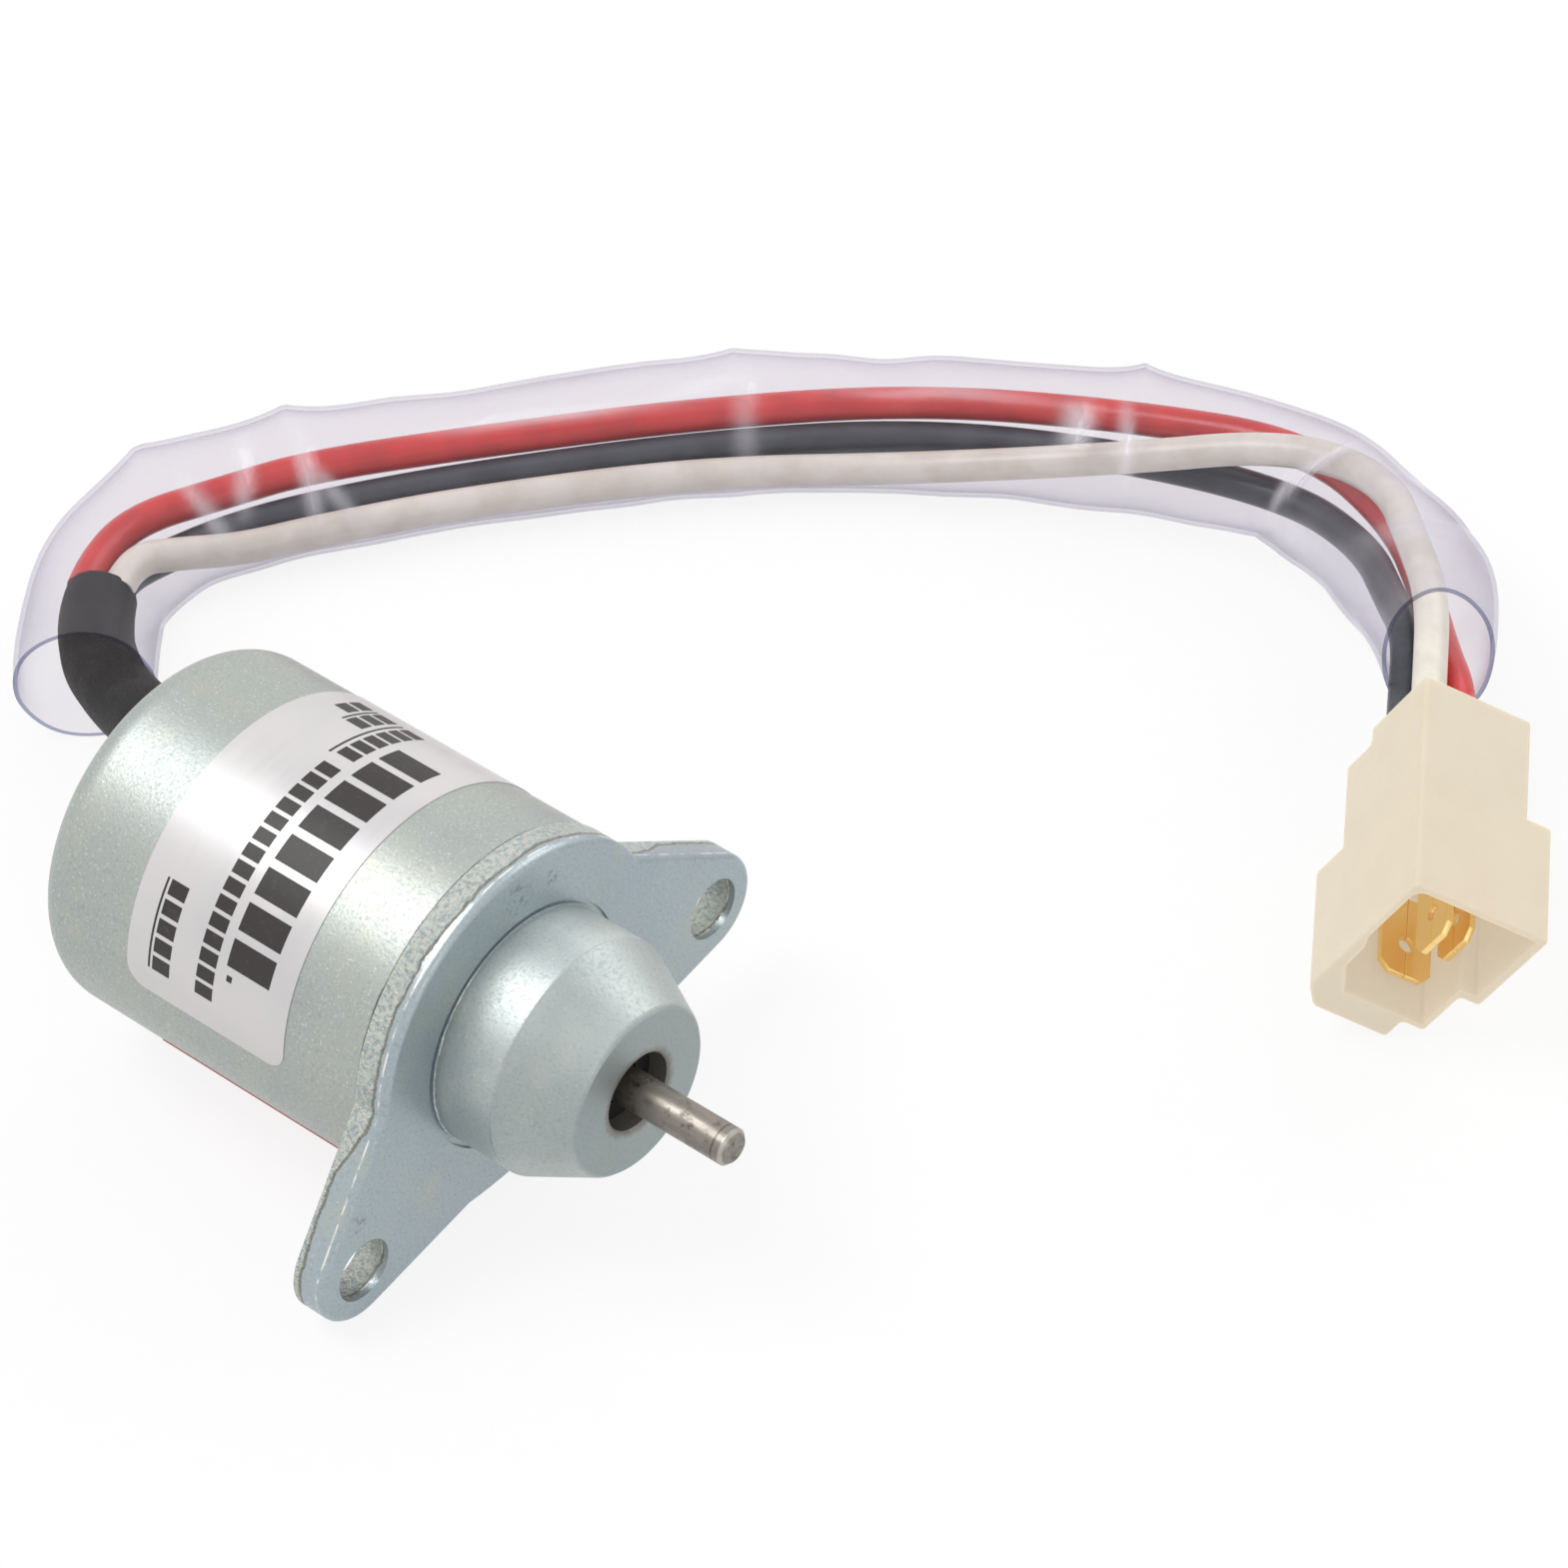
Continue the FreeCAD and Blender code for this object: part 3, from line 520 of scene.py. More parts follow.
@dataclass(frozen=True)
class PlainMetal:
    """Unplated metal: steel, iron, bronze, brass or copper, with streaks and pits.

    Attributes:
        name: The material's name.
        base: The metal's colour.
        stain: The colour of its stains and pits.
        rough: The mean roughness.
        streak: How the streaks are stretched along the axes.
        pits: How much of the surface is pitted, from 0 to 1.
        metal: How metallic it looks.
        wear: How deep and dark its streaks are.
    """

    name: str
    base: Colour
    stain: Colour
    rough: float = 0.3
    streak: Point = (0.15, 1.0, 1.0)
    pits: float = 0.3
    metal: float = 1.0
    wear: float = 1.0

    def surface(self) -> Surface:
        """Build the metal's node tree."""
        made = Surface(self.name)
        lines = made.noise(1400.0, 3.0, 0.6, made.stretched(self.streak))
        blots = made.noise(520.0, 5.0, 0.7)
        stained = made.span(blots, 0.68 - 0.16 * self.pits, 0.74, 0.0, 0.85 * self.wear)
        colour = made.blend(made.span(lines, 0.35, 0.65, 0.0, 0.22 * self.wear), self.base,
                            self.stain)
        made.set(
            Base_Color=made.blend(stained, colour, self.stain),
            Metallic=self.metal,
            Roughness=made.span(lines, 0.3, 0.7, self.rough - 0.06 * self.wear,
                                self.rough + 0.10 * self.wear),
        )
        made.bump(lines, 0.00002 * self.wear, 0.5)
        made.bump(made.minus(1.0, stained), 0.00008, 0.5)
        return made


@dataclass(frozen=True)
class GroundRod(PlainMetal):
    """The push rod's bare bar, with a dark line behind its bright chamfered tip.

    Attributes:
        line: Where the dark line lies along the axis.
        tip: Where the bright chamfer begins.
        bright: The chamfer's colour.
    """

    line: float = 0.0270
    tip: float = 0.0281
    bright: Colour = (0.95, 0.93, 0.90)

    def surface(self) -> Surface:
        """Build the rod's node tree, then its line and its tip."""
        made = super().surface()
        along = made.axis("X")
        dark = made.span(made.off(along, self.line), 0.00016, 0.00006, 0.0, 0.6)
        edge = made.span(made.off(along, self.tip), 0.0003, 0.0001, 0.0, 0.25)
        made.set(Base_Color=made.blend(edge, made.blend(dark, made.colour(), self.stain),
                                       self.bright))
        return made


@dataclass(frozen=True)
class Moulding:
    """Moulded or extruded plastic or rubber with a soft mottle and a fine skin.

    Attributes:
        name: The material's name.
        base: The main colour.
        shade: The colour of the mottle.
        rough: The mean roughness.
        depth: How deep the skin's texture is.
        coat: How strong a clear gloss lies on it.
        glow: How much light goes through the surface.
        painted_glow: How bright its painted glow is, an emission in its base colour that stands
            in for light that has come through it.
        shine: How much its skin mirrors.
    """

    name: str
    base: Colour
    shade: Colour
    rough: float = 0.45
    depth: float = 0.00003
    coat: float = 0.0
    glow: float = 0.0
    painted_glow: float = 0.0
    shine: float = 0.5

    def surface(self) -> Surface:
        """Build the plastic's node tree."""
        made = Surface(self.name)
        mottle = made.noise(160.0, 4.0, 0.6)
        skin = made.noise(2600.0, 2.0, 0.6)
        made.set(
            Base_Color=made.blend(made.span(mottle, 0.38, 0.66), self.base, self.shade),
            Roughness=made.span(skin, 0.3, 0.7, self.rough - 0.05, self.rough + 0.07),
            Specular_IOR_Level=self.shine,
            Coat_Weight=self.coat,
            Coat_Roughness=0.12,
        )
        if self.glow:
            # Light scatters through the plastic; a painted glow, emission in the base colour,
            # lightens it also where no light falls.
            made.set(Subsurface_Weight=self.glow, Subsurface_Scale=0.0025,
                     Subsurface_Radius=(1.0, 0.72, 0.45), Emission_Color=self.base,
                     Emission_Strength=self.painted_glow)
        made.bump(skin, self.depth, 0.7)
        made.bump(mottle, 0.0003, 0.25)
        return made


@dataclass(frozen=True)
class Foil:
    """Metallised label foil, satin, with a faint brushed sheen.

    Attributes:
        name: The material's name.
        base: The foil's colour.
        shade: Its colour where the sheen falls off.
        metal: How metallic it looks.
        rough: The roughness.
    """

    name: str
    base: Colour
    shade: Colour
    metal: float = 0.35
    rough: float = 0.36

    def surface(self) -> Surface:
        """Build the foil's node tree."""
        made = Surface(self.name)
        brushed = made.noise(900.0, 3.0, 0.6, made.stretched((1.0, 0.05, 0.05)))
        waves = made.noise(60.0, 2.0, 0.5)
        made.set(
            Base_Color=made.blend(made.span(waves, 0.4, 0.7, 0.0, 0.6), self.base, self.shade),
            Metallic=self.metal,
            Roughness=made.span(brushed, 0.3, 0.7, self.rough - 0.04, self.rough + 0.06),
        )
        made.bump(waves, 0.0001, 0.15)
        return made


@dataclass(frozen=True)
class WoundWire:
    """A winding of enamelled wire: close turns side by side along the axis.

    Attributes:
        name: The material's name.
        base: The enamel's colour.
        gap_shade: The painted shade between two turns.
        scale: The scale of the bands that are its turns, about 2500 to the metre.
    """

    name: str
    base: Colour
    gap_shade: Colour
    scale: float = 789.4085

    def surface(self) -> Surface:
        """Build the winding's node tree."""
        made = Surface(self.name)
        bands = made.add("ShaderNodeTexWave", bands_direction="X", wave_profile="SIN")
        made.feed(bands.inputs["Vector"], made.place)
        bands.inputs["Scale"].default_value = self.scale
        bands.inputs["Distortion"].default_value = 0.4
        crowns = bands.outputs["Fac"]
        # Painted shade in the grooves between turns, where the bands sink.
        made.set(
            Base_Color=made.blend(made.span(crowns, 0.0, 0.6), self.gap_shade, self.base),
            Metallic=0.8,
            Roughness=0.3,
            Coat_Weight=0.6,
        )
        made.bump(crowns, 0.0003, 0.8)
        return made


@dataclass(frozen=True)
class ClearVinyl:
    """Thin clear tubing: nearly see-through, darker and tinted where it is seen along.

    Attributes:
        name: The material's name.
        through: What one wall passes of the light that meets it head on.
        along: What it passes where it is seen along its surface.
        gloss: The roughness of its surface.
        mirror: How much it mirrors head on.
        sheen: How much more it mirrors where it is seen along its surface.
        skin: The colour of its glossy skin and of its painted highlights, white streaks along the
            creases.
    """

    name: str
    through: Colour
    along: Colour
    gloss: float = 0.05
    mirror: float = 0.022
    sheen: float = 0.75
    skin: Colour = (0.93, 0.91, 0.96)

    def surface(self) -> Surface:
        """Build the tubing's node tree, a clear film with a glossy skin and painted highlight
        streaks.
        """
        made = Surface(self.name)
        edge = made.add("ShaderNodeLayerWeight")
        edge.inputs["Blend"].default_value = 0.5
        grazing = edge.outputs["Facing"]
        clear = made.add("ShaderNodeBsdfTransparent")
        made.feed(clear.inputs["Color"],
                  made.blend(made.calc("POWER", grazing, 4.0), self.through, self.along))
        made.set(Base_Color=self.skin, Roughness=self.gloss, Specular_IOR_Level=0.6)
        made.bump(made.noise(110.0, 3.0, 0.6), 0.0007, 0.3)
        # Painted highlights: white streaks along the creases, from the sleeve's white layer.
        painted_streaks = made.add("ShaderNodeAttribute", attribute_name="white")
        shine = made.calc("ADD", made.times(made.calc("POWER", grazing, 5.0), self.sheen),
                          painted_streaks.outputs["Fac"])
        made.mix(made.calc("ADD", shine, self.mirror, True), clear, made.shader)
        return made


@dataclass(frozen=True)
class Ink:
    """Matt printing ink.

    Attributes:
        name: The material's name.
        base: The ink's colour.
        worn: Its colour where it is thin.
    """

    name: str
    base: Colour
    worn: Colour

    def surface(self) -> Surface:
        """Build the ink's node tree."""
        made = Surface(self.name)
        thin = made.noise(1200.0, 3.0, 0.6)
        made.set(
            Base_Color=made.blend(made.span(thin, 0.55, 0.75, 0.0, 0.4), self.base, self.worn),
            Roughness=0.45,
        )
        return made


Finish = ZincPlate | PlainMetal | Moulding | Foil | WoundWire | ClearVinyl | Ink


class Paints:
    """Every finish of the object, each made into a material once."""

    FINISHES: dict[str, Finish] = {
        "can": DrawnZinc("zinc_can_grain", *tints("abb0ab", "b5b5a6", "a0a9a8", "7f8886")),
        "flange": ShearedZinc(
            "zinc_flange_sheet", *tints("a6b2b6", "b4b7a8", "9caab4", "717c80"), rough=0.36,
            depth=0.00002, painted_glint=0.18),
        "nose": TurnedZinc(
            "zinc_nose_turned", *tints("cbd2d0", "d0d1c4", "9ba6a8", "858f8d"), rough=0.48,
            painted_glint=0.25),
        "rod": GroundRod(
            "bare_steel_rod", *tints("8f8981", "3f3a35"), rough=0.38, pits=1.1, metal=0.85),
        "iron": PlainMetal("soft_iron_turned", *tints("8f8f8c", "5c5a57")),
        "spring": PlainMetal("spring_steel_wire", *tints("9a9a9c", "555556")),
        "bronze": PlainMetal(
            "sintered_bronze", *tints("8a5a3a", "3a241a"), rough=0.38, pits=0.6),
        "brass": PlainMetal("brass_tube_drawn", *tints("c8a45c", "8f6a32")),
        "blade": PlainMetal(
            "blade_brass_stamped", *tints("ffdb92", "e3ac54"), rough=0.28,
            streak=(0.3, 0.3, 0.3), pits=0.0, metal=0.62, wear=0.08),
        "copper": WoundWire("coil_copper_wire", *tints("b0562c", "4a1d0e")),
        "tape": Moulding("coil_tape_yellow", *tints("d9b45a", "c49a3f"), rough=0.5),
        "coil_plastic": Moulding("coil_plastic_black", *tints("2a2a2c", "1c1c1e")),
        "rubber": Moulding(
            "rubber_boot_black", *tints("1d1b1a", "292726"), rough=0.6, depth=0.00006,
            shine=0.2),
        "red": Moulding(
            "insulation_red", *tints("d8302c", "c32524"), rough=0.34, depth=0.00004, coat=0.25),
        "black": Moulding(
            "insulation_black", *tints("3f444b", "2c3037"), rough=0.42, depth=0.00004,
            coat=0.15),
        "white": Moulding(
            "insulation_white", *tints("e9e4d9", "ddd6c8"), rough=0.36, depth=0.00004,
            coat=0.2),
        "vinyl": ClearVinyl("vinyl_clear", (0.950, 0.940, 0.954), (0.60, 0.59, 0.69)),
        "vinyl_rim": ClearVinyl("vinyl_cut_rim", (0.42, 0.44, 0.55), (0.25, 0.27, 0.38), 0.2),
        # The nylon's painted glow lightens its shaded cavity.
        "nylon": Moulding(
            "nylon_natural", *tints("9b9384", "988f7e"), depth=0.00002, glow=0.6, painted_glow=1.3,
            shine=0.25),
        "label": Foil("label_foil_silver", *tints("d0cdcc", "c3c0c5")),
        "label_red": Foil("label_foil_red", *tints("b8423a", "a8362f"), metal=0.2),
        "ink": Ink("label_ink_black", *tints("26211f", "4a4543")),
    }

    def __init__(self) -> None:
        """Start with no material made."""
        self.made: dict[str, bpy.types.Material] = {}

    def __getitem__(self, key: str) -> bpy.types.Material:
        """The material of a finish, made the first time it is asked for."""
        if key not in self.made:
            self.made[key] = self.FINISHES[key].surface().material
        return self.made[key]


class Workshop:
    """What every sub-assembly uses to place, ride and dress its pieces."""

    def __init__(self, paints: Paints) -> None:
        """Keep the finishes and the CAD nodes."""
        self.paints = paints
        self.nodes: dict[str, bpy.types.Object] = frame["nodes"]

    def dress(self, finish: str, *names: str) -> None:
        """Give CAD nodes a finish through their material slots.

        Args:
            finish: The key of the finish.
            names: The CAD nodes that wear it.
        """
        for name in names:
            slots = self.nodes[name].material_slots
            for slot in slots:
                slot.material = self.paints[finish]
            if not slots:
                self.nodes[name].data.materials.append(self.paints[finish])
            LOG.info("%s: CAD node in %s", name, finish)

    def piece(self, name: str, mesh: bmesh.types.BMesh, finishes: Sequence[str], body: Body,
              replaces: Iterable[str] = (), smooth: float = 40.0
              ) -> bpy.types.Object:
        """Turn a finished bmesh into a piece that rides on a body.

        Args:
            name: The piece's name.
            mesh: The bmesh, in the frame's own coordinates. It is freed.
            finishes: The finishes, by the faces' material numbers.
            body: The body that it rides on.
            replaces: The CAD nodes that it stands for.
            smooth: The angle in degrees up to which its edges shade smooth.

        Returns:
            The new object.
        """
        data = bpy.data.meshes.new(name)
        for edge in mesh.edges:
            edge.smooth = edge.calc_face_angle(math.pi) < math.radians(smooth)
        for face in mesh.faces:
            face.smooth = True
        mesh.to_mesh(data)
        mesh.free()
        made = placed(name, data)
        for finish in finishes:
            data.materials.append(self.paints[finish])
        return self.settle(made, body, replaces)

    def settle(self, made: bpy.types.Object, body: Body,
               replaces: Iterable[str] = ()) -> bpy.types.Object:
        """Ride a piece on its body and hide the CAD nodes that it stands for."""
        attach(made, body.value)
        if replaces:
            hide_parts(*replaces)
        LOG.info("%s: new piece on %s", made.name, body.value)
        return made


@dataclass
class PhotoCamera:
    """The camera, at the photograph's place and with its field of view.

    Attributes:
        place: Where the camera stands.
        right: The image's right in the frame.
        up: The image's up in the frame.
        focal_px: The focal length in pixels of the photograph.
        image_px: The width of the photograph.
        sensor_mm: The width of the sensor.
        clips: The nearest and farthest distances that it shows.
    """

    place: Point = (0.3110936, -0.2946644, 0.4461850)
    right: Point = (0.76388208, 0.64358877, -0.0477248)
    up: Point = (-0.42277814, 0.55492811, 0.71645895)
    focal_px: float = 6017.837
    image_px: float = 1569.0
    sensor_mm: float = 36.0
    clips: tuple[float, float] = (0.01, 10.0)

    def build(self) -> None:
        """Make the camera and give it to the scene."""
        data = bpy.data.cameras.new("photo_camera")
        data.sensor_width = self.sensor_mm
        data.lens = self.sensor_mm * self.focal_px / self.image_px
        data.clip_start, data.clip_end = self.clips
        camera = placed("photo_camera", data)
        right, up = Vector(self.right), Vector(self.up)
        turn = Matrix((right, up, right.cross(up))).transposed()
        camera.matrix_world = Matrix.Translation(self.place) @ turn.to_4x4()
        bpy.context.scene.camera = camera


@dataclass
class SoftBox:
    """One rectangular studio lamp.

    Attributes:
        name: The lamp's name.
        place: Where it hangs.
        width: Its width.
        height: Its height.
        power: Its power in watts.
        aim: The point that it faces.
    """

    name: str
    place: Point
    width: float
    height: float
    power: float
    aim: Point = (-0.02, 0.04, 0.0)

    def build(self) -> None:
        """Hang the lamp and turn it to what it lights."""
        data = bpy.data.lights.new(self.name, "AREA")
        data.shape = "RECTANGLE"
        data.size = self.width
        data.size_y = self.height
        data.energy = self.power
        lamp = placed(self.name, data)
        away = Vector(self.place) - Vector(self.aim)
        lamp.matrix_world = (Matrix.Translation(self.place)
                             @ away.to_track_quat("Z", "Y").to_matrix().to_4x4())


@dataclass
class Studio:
    """A pale table, soft light from above and a white surround.

    Attributes:
        lamps: The soft boxes.
        ambient: How bright the surround is as a light.
        floor_reach: Half the width of the table.
        drop: How far under the object its top lies.
        shadow: How much of the object's shadow the white table shows.
    """

    lamps: list[SoftBox] = field(default_factory=lambda: [
        SoftBox("key_lamp", (-0.35, -0.20, 0.75), 0.45, 0.45, 3.6),
        SoftBox("back_lamp", (0.10, 0.75, 0.55), 0.90, 0.50, 2.3),
        SoftBox("side_lamp", (0.75, -0.25, 0.30), 0.30, 0.50, 0.4),
    ])
    ambient: float = 0.62
    floor_reach: float = 3.0
    drop: float = 0.0001
    shadow: float = 0.14

    def build(self, paints: Paints) -> None:
        """Make the table, the lamps and the world."""
        for lamp in self.lamps:
            lamp.build()
        self.table()
        self.world()
        bpy.context.scene.view_settings.view_transform = "Standard"

    def table(self) -> None:
        """Make the table's top, which isn't part of the object."""
        mesh = bmesh.new()
        bmesh.ops.create_grid(mesh, x_segments=2, y_segments=2, size=self.floor_reach)
        bmesh.ops.translate(mesh, vec=(0.0, 0.0, TABLE_Z - self.drop), verts=mesh.verts)
        data = bpy.data.meshes.new("studio_table")
        mesh.to_mesh(data)
        mesh.free()
        top = placed("studio_table", data)
        data.materials.append(self.table_material())

    def table_material(self) -> bpy.types.Material:
        """White board that looks as bright as the surround where no shadow falls."""
        made = Surface("studio_white_board")
        board = made.span(made.noise(400.0, 2.0, 0.5), 0.3, 0.7)
        made.set(
            Base_Color=made.blend(board, (0.88, 0.88, 0.88), (0.90, 0.90, 0.90)),
            Roughness=0.9,
            Specular_IOR_Level=0.1,
        )
        glow = made.add("ShaderNodeEmission")
        glow.inputs["Strength"].default_value = 1.0
        made.mix(made.times(eye_rays(made.tree), 1.0 - self.shadow), made.shader, glow)
        return made.material

    def world(self) -> None:
        """Surround the table with white that lights the object softly."""
        world = bpy.data.worlds.new("studio_surround")
        world.use_nodes = True
        bpy.context.scene.world = world
        tree = world.node_tree
        light = tree.nodes["Background"]
        white = tree.nodes.new("ShaderNodeBackground")
        for shown, strength in ((light, self.ambient), (white, 1.0)):
            shown.inputs["Color"].default_value = (*WHITE, 1.0)
            shown.inputs["Strength"].default_value = strength
        mixed = tree.nodes.new("ShaderNodeMixShader")
        for number, part in enumerate((eye_rays(tree), light.outputs[0], white.outputs[0])):
            tree.links.new(part, mixed.inputs[number])
        tree.links.new(mixed.outputs[0], tree.nodes["World Output"].inputs["Surface"])


def nurbs_line(name: str, route: Sequence[Point], steps: int) -> bpy.types.Curve:
    """A smooth centre line along a route, from its first point to its last.

    Args:
        name: The curve's name.
        route: The points of the route.
        steps: In how many steps each stretch is drawn.

    Returns:
        The curve.
    """
    data = bpy.data.curves.new(name, "CURVE")
    data.dimensions = "3D"
    data.resolution_u = steps
    spline = data.splines.new("NURBS")
    spline.points.add(len(route) - 1)
    for point, place in zip(spline.points, route):
        point.co = (*place, 1.0)
    spline.order_u = 3
    spline.use_endpoint_u = True
    spline.use_smooth = True
    return data


@dataclass
class Cord:
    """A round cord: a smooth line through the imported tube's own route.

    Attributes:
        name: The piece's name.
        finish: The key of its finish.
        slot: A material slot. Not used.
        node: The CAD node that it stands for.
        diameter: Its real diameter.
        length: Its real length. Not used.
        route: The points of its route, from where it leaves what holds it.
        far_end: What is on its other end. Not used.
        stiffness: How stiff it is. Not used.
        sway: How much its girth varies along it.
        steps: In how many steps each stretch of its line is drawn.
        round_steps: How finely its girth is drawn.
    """

    name: str
    finish: str
    slot: Slot
    node: str
    diameter: float
    length: float
    route: list[Point]
    far_end: str
    stiffness: str = "medium"
    sway: float = 0.0
    steps: int = 16
    round_steps: int = 6

    def build(self, shop: Workshop, with_pieces: Sequence[bpy.types.Object] = ()
              ) -> bpy.types.Object:
        """Args:
            shop: The workshop.
            with_pieces: The pieces on its end. Not used.

        Returns:
            The cord's object.
        """
        data = nurbs_line(self.name, self.route, self.steps)
        girth = random.Random(len(self.route) + int(self.diameter * 1e5))
        for point in data.splines[0].points:
            point.radius = 1.0 + self.sway * (girth.random() - 0.5)
        data.bevel_depth = self.diameter / 2
        data.bevel_resolution = self.round_steps
        data.use_fill_caps = True
        made = placed(self.name, data)
        data.materials.append(shop.paints[self.finish])
        shop.settle(made, Body.HOUSING, [self.node])
        self.route[0]
        return made


@dataclass
class Crease:
    """A dent or fold in the clear sleeve.

    Attributes:
        at: How far along the sleeve it lies, as a share of the length.
        turn: Its middle round the sleeve, in degrees: 0 is to the left, 90 is up.
        depth: How deep it is. A ridge that stands out has a depth below zero.
        run: How far it reaches along the sleeve.
        spread: How far it reaches round, in degrees.
        fold: Whether its middle is a sharp fold.
        white: How strong the painted highlight along it is, a white streak where the film throws
            the light back.
        slant: How far it leans along the sleeve, in metres for each degree round.
    """

    at: float
    turn: float
    depth: float
    run: float = 0.005
    spread: float = 50.0
    fold: bool = True
    white: float = 0.0
    slant: float = 0.0

    def off_turn(self, turn: float) -> float:
        """The angle from its middle to a place, in degrees, below zero on one side."""
        return (turn - self.turn + 180.0) % 360.0 - 180.0

    def at_place(self, along: float, turn: float) -> float:
        """How much it pulls the wall in at a place.

        Args:
            along: The distance along the sleeve from the crease's middle.
            turn: The angle round the sleeve, in degrees.

        Returns:
            The distance by which the wall moves in.
        """
        off = abs(along) / self.run
        sharp = 0.55 * math.exp(-off) + 0.45 * math.exp(-off / 3.5)
        fall = sharp if self.fold else math.exp(-off * off)
        round_off = self.off_turn(turn) / self.spread
        return self.depth * fall * math.exp(-round_off * round_off)

    def painted_highlight_at(self, along: float, turn: float) -> float:
        """How strong the painted highlight is at a place, from 0 to 1.

        Args:
            along: The distance along the sleeve from the crease's middle.
            turn: The angle round the sleeve, in degrees.

        Returns:
            The share of painted highlight.
        """
        around = self.off_turn(turn)
        off = (along - self.slant * around) / self.run
        return self.white * math.exp(-off * off - (around / self.spread) ** 4)


@dataclass
class ClearSleeve:
    """The clear tubing round the leads, kinked where it bends.

    Attributes:
        route: The points of its route.
        diameter: Its outside diameter.
        wall: Its wall.
        length: Its real length.
        stations: How many rings it is drawn with.
        sides: How many corners each ring has.
        squeeze: How much its far mouth is squeezed from the sides, as a share.
        mouth: Where the squeeze begins, as a share of the length.
        least: How near its wall may come to its centre line.
        flattest: How far its creases together may flatten it.
        wave: How far its wall waves in and out.
        creases: Its dents and folds.
    """

    route: list[Point]
    diameter: float = 0.016
    wall: float = 0.0005
    length: float = 0.2098
    stations: int = 300
    sides: int = 72
    squeeze: float = 0.25
    mouth: float = 0.90
    least: float = 0.0058
    flattest: float = 0.0009
    wave: float = 0.0004
    creases: list[Crease] = field(default_factory=list)

    def centre(self) -> list[Vector]:
        """Evenly spaced points on the sleeve's centre line, from its NURBS curve."""
        data = nurbs_line("sleeve_guide", self.route, 40)
        curve = placed("sleeve_guide", data)
        bpy.context.view_layer.update()
        drawn = bpy.data.meshes.new_from_object(
            curve.evaluated_get(bpy.context.evaluated_depsgraph_get()))
        points = [vertex.co.copy() for vertex in drawn.vertices]
        bpy.data.objects.remove(curve)
        bpy.data.curves.remove(data)
        bpy.data.meshes.remove(drawn)
        reach = [0.0]
        for a, b in zip(points, points[1:]):
            reach.append(reach[-1] + (b - a).length)
        even, at = [], 0
        for step in range(self.stations + 1):
            want = reach[-1] * step / self.stations
            while at < len(reach) - 2 and reach[at + 1] < want:
                at += 1
            share = (want - reach[at]) / (reach[at + 1] - reach[at])
            even.append(points[at].lerp(points[at + 1], min(1.0, share)))
        return even

    def radius(self, share: float, turn: float) -> float:
        """The wall's distance from the centre line at a place on the sleeve."""
        angle = math.radians(turn)
        out = self.diameter / 2 - self.wall / 2
        flat = 0.0
        for crease in self.creases:
            near = (share - crease.at) * self.length
            out -= crease.at_place(near, turn)
            flat += math.exp(-(near / (crease.run * 3.0)) ** 2) * abs(crease.depth) * 0.15
        out += min(flat, self.flattest) * math.cos(2 * angle)
        wave = noise.noise(Vector((share * 22.0, math.cos(angle) * 1.2, math.sin(angle) * 1.2)))
        return max(self.least, out + self.wave * wave)

    def place_ring(self, ring: list[bmesh.types.BMVert], turns: Any, painted_highlights: Any,
                   centre: list[Vector], index: int) -> None:
        """Move one ring of the wall to its place round the centre line.

        Args:
            ring: The ring's vertices.
            turns: The layer that holds each vertex's angle round the sleeve.
            painted_highlights: The layer that holds how strong the painted highlight is there.
            centre: The centre line's points.
            index: The point that the ring lies round.
        """
        ahead = (centre[min(index + 1, len(centre) - 1)]
                 - centre[max(index - 1, 0)]).normalized()
        side = Vector((0.0, 0.0, 1.0)).cross(ahead).normalized()
        over = ahead.cross(side)
        share = index / self.stations
        mouth = self.squeeze * max(0.0, (share - self.mouth) / (1.0 - self.mouth)) ** 2
        for vertex in ring:
            angle = math.radians(vertex[turns])
            out = self.radius(share, vertex[turns])
            wide = side * (math.cos(angle) * (1.0 - mouth))
            high = over * (math.sin(angle) * (1.0 + 0.2 * mouth))
            vertex.co = centre[index] + (wide + high) * out
            vertex.co.z = max(vertex.co.z, TABLE_Z + self.wall / 2)
            # Painted highlight: white streaks along the creases that throw the light back.
            vertex[painted_highlights] = min(1.0, sum(
                crease.painted_highlight_at((share - crease.at) * self.length, vertex[turns])
                for crease in self.creases if crease.white))

    def build(self, shop: Workshop) -> bpy.types.Object:
        """Args:
            shop: The workshop.

        Returns:
            The sleeve's object.
        """
        centre = self.centre()
        mesh = bmesh.new()
        turns = mesh.verts.layers.float.new("turn")
        painted_highlights = mesh.verts.layers.float.new("white")
        ring = bmesh.ops.create_circle(mesh, segments=self.sides, radius=1.0)["verts"]
        for vertex in ring:
            vertex[turns] = math.degrees(math.atan2(vertex.co.y, vertex.co.x)) % 360.0
        edges = mesh.edges[:]
        self.place_ring(ring, turns, painted_highlights, centre, 0)
        for index in range(1, len(centre)):
            grown = bmesh.ops.extrude_edge_only(mesh, edges=edges)["geom"]
            edges = parts_of(grown, bmesh.types.BMEdge)
            self.place_ring(parts_of(grown, bmesh.types.BMVert), turns, painted_highlights, centre, index)
        bmesh.ops.recalc_face_normals(mesh, faces=mesh.faces)
        made = shop.piece("sleeve_clear", mesh, ["vinyl", "vinyl_rim"], Body.HOUSING,
                          ["clear_sleeve"], 180.0)
        wall = made.modifiers.new("wall", "SOLIDIFY")
        wall.thickness = self.wall
        wall.offset = 0.0
        wall.use_rim = True
        wall.material_offset_rim = 1
        self.route[0]
        return made


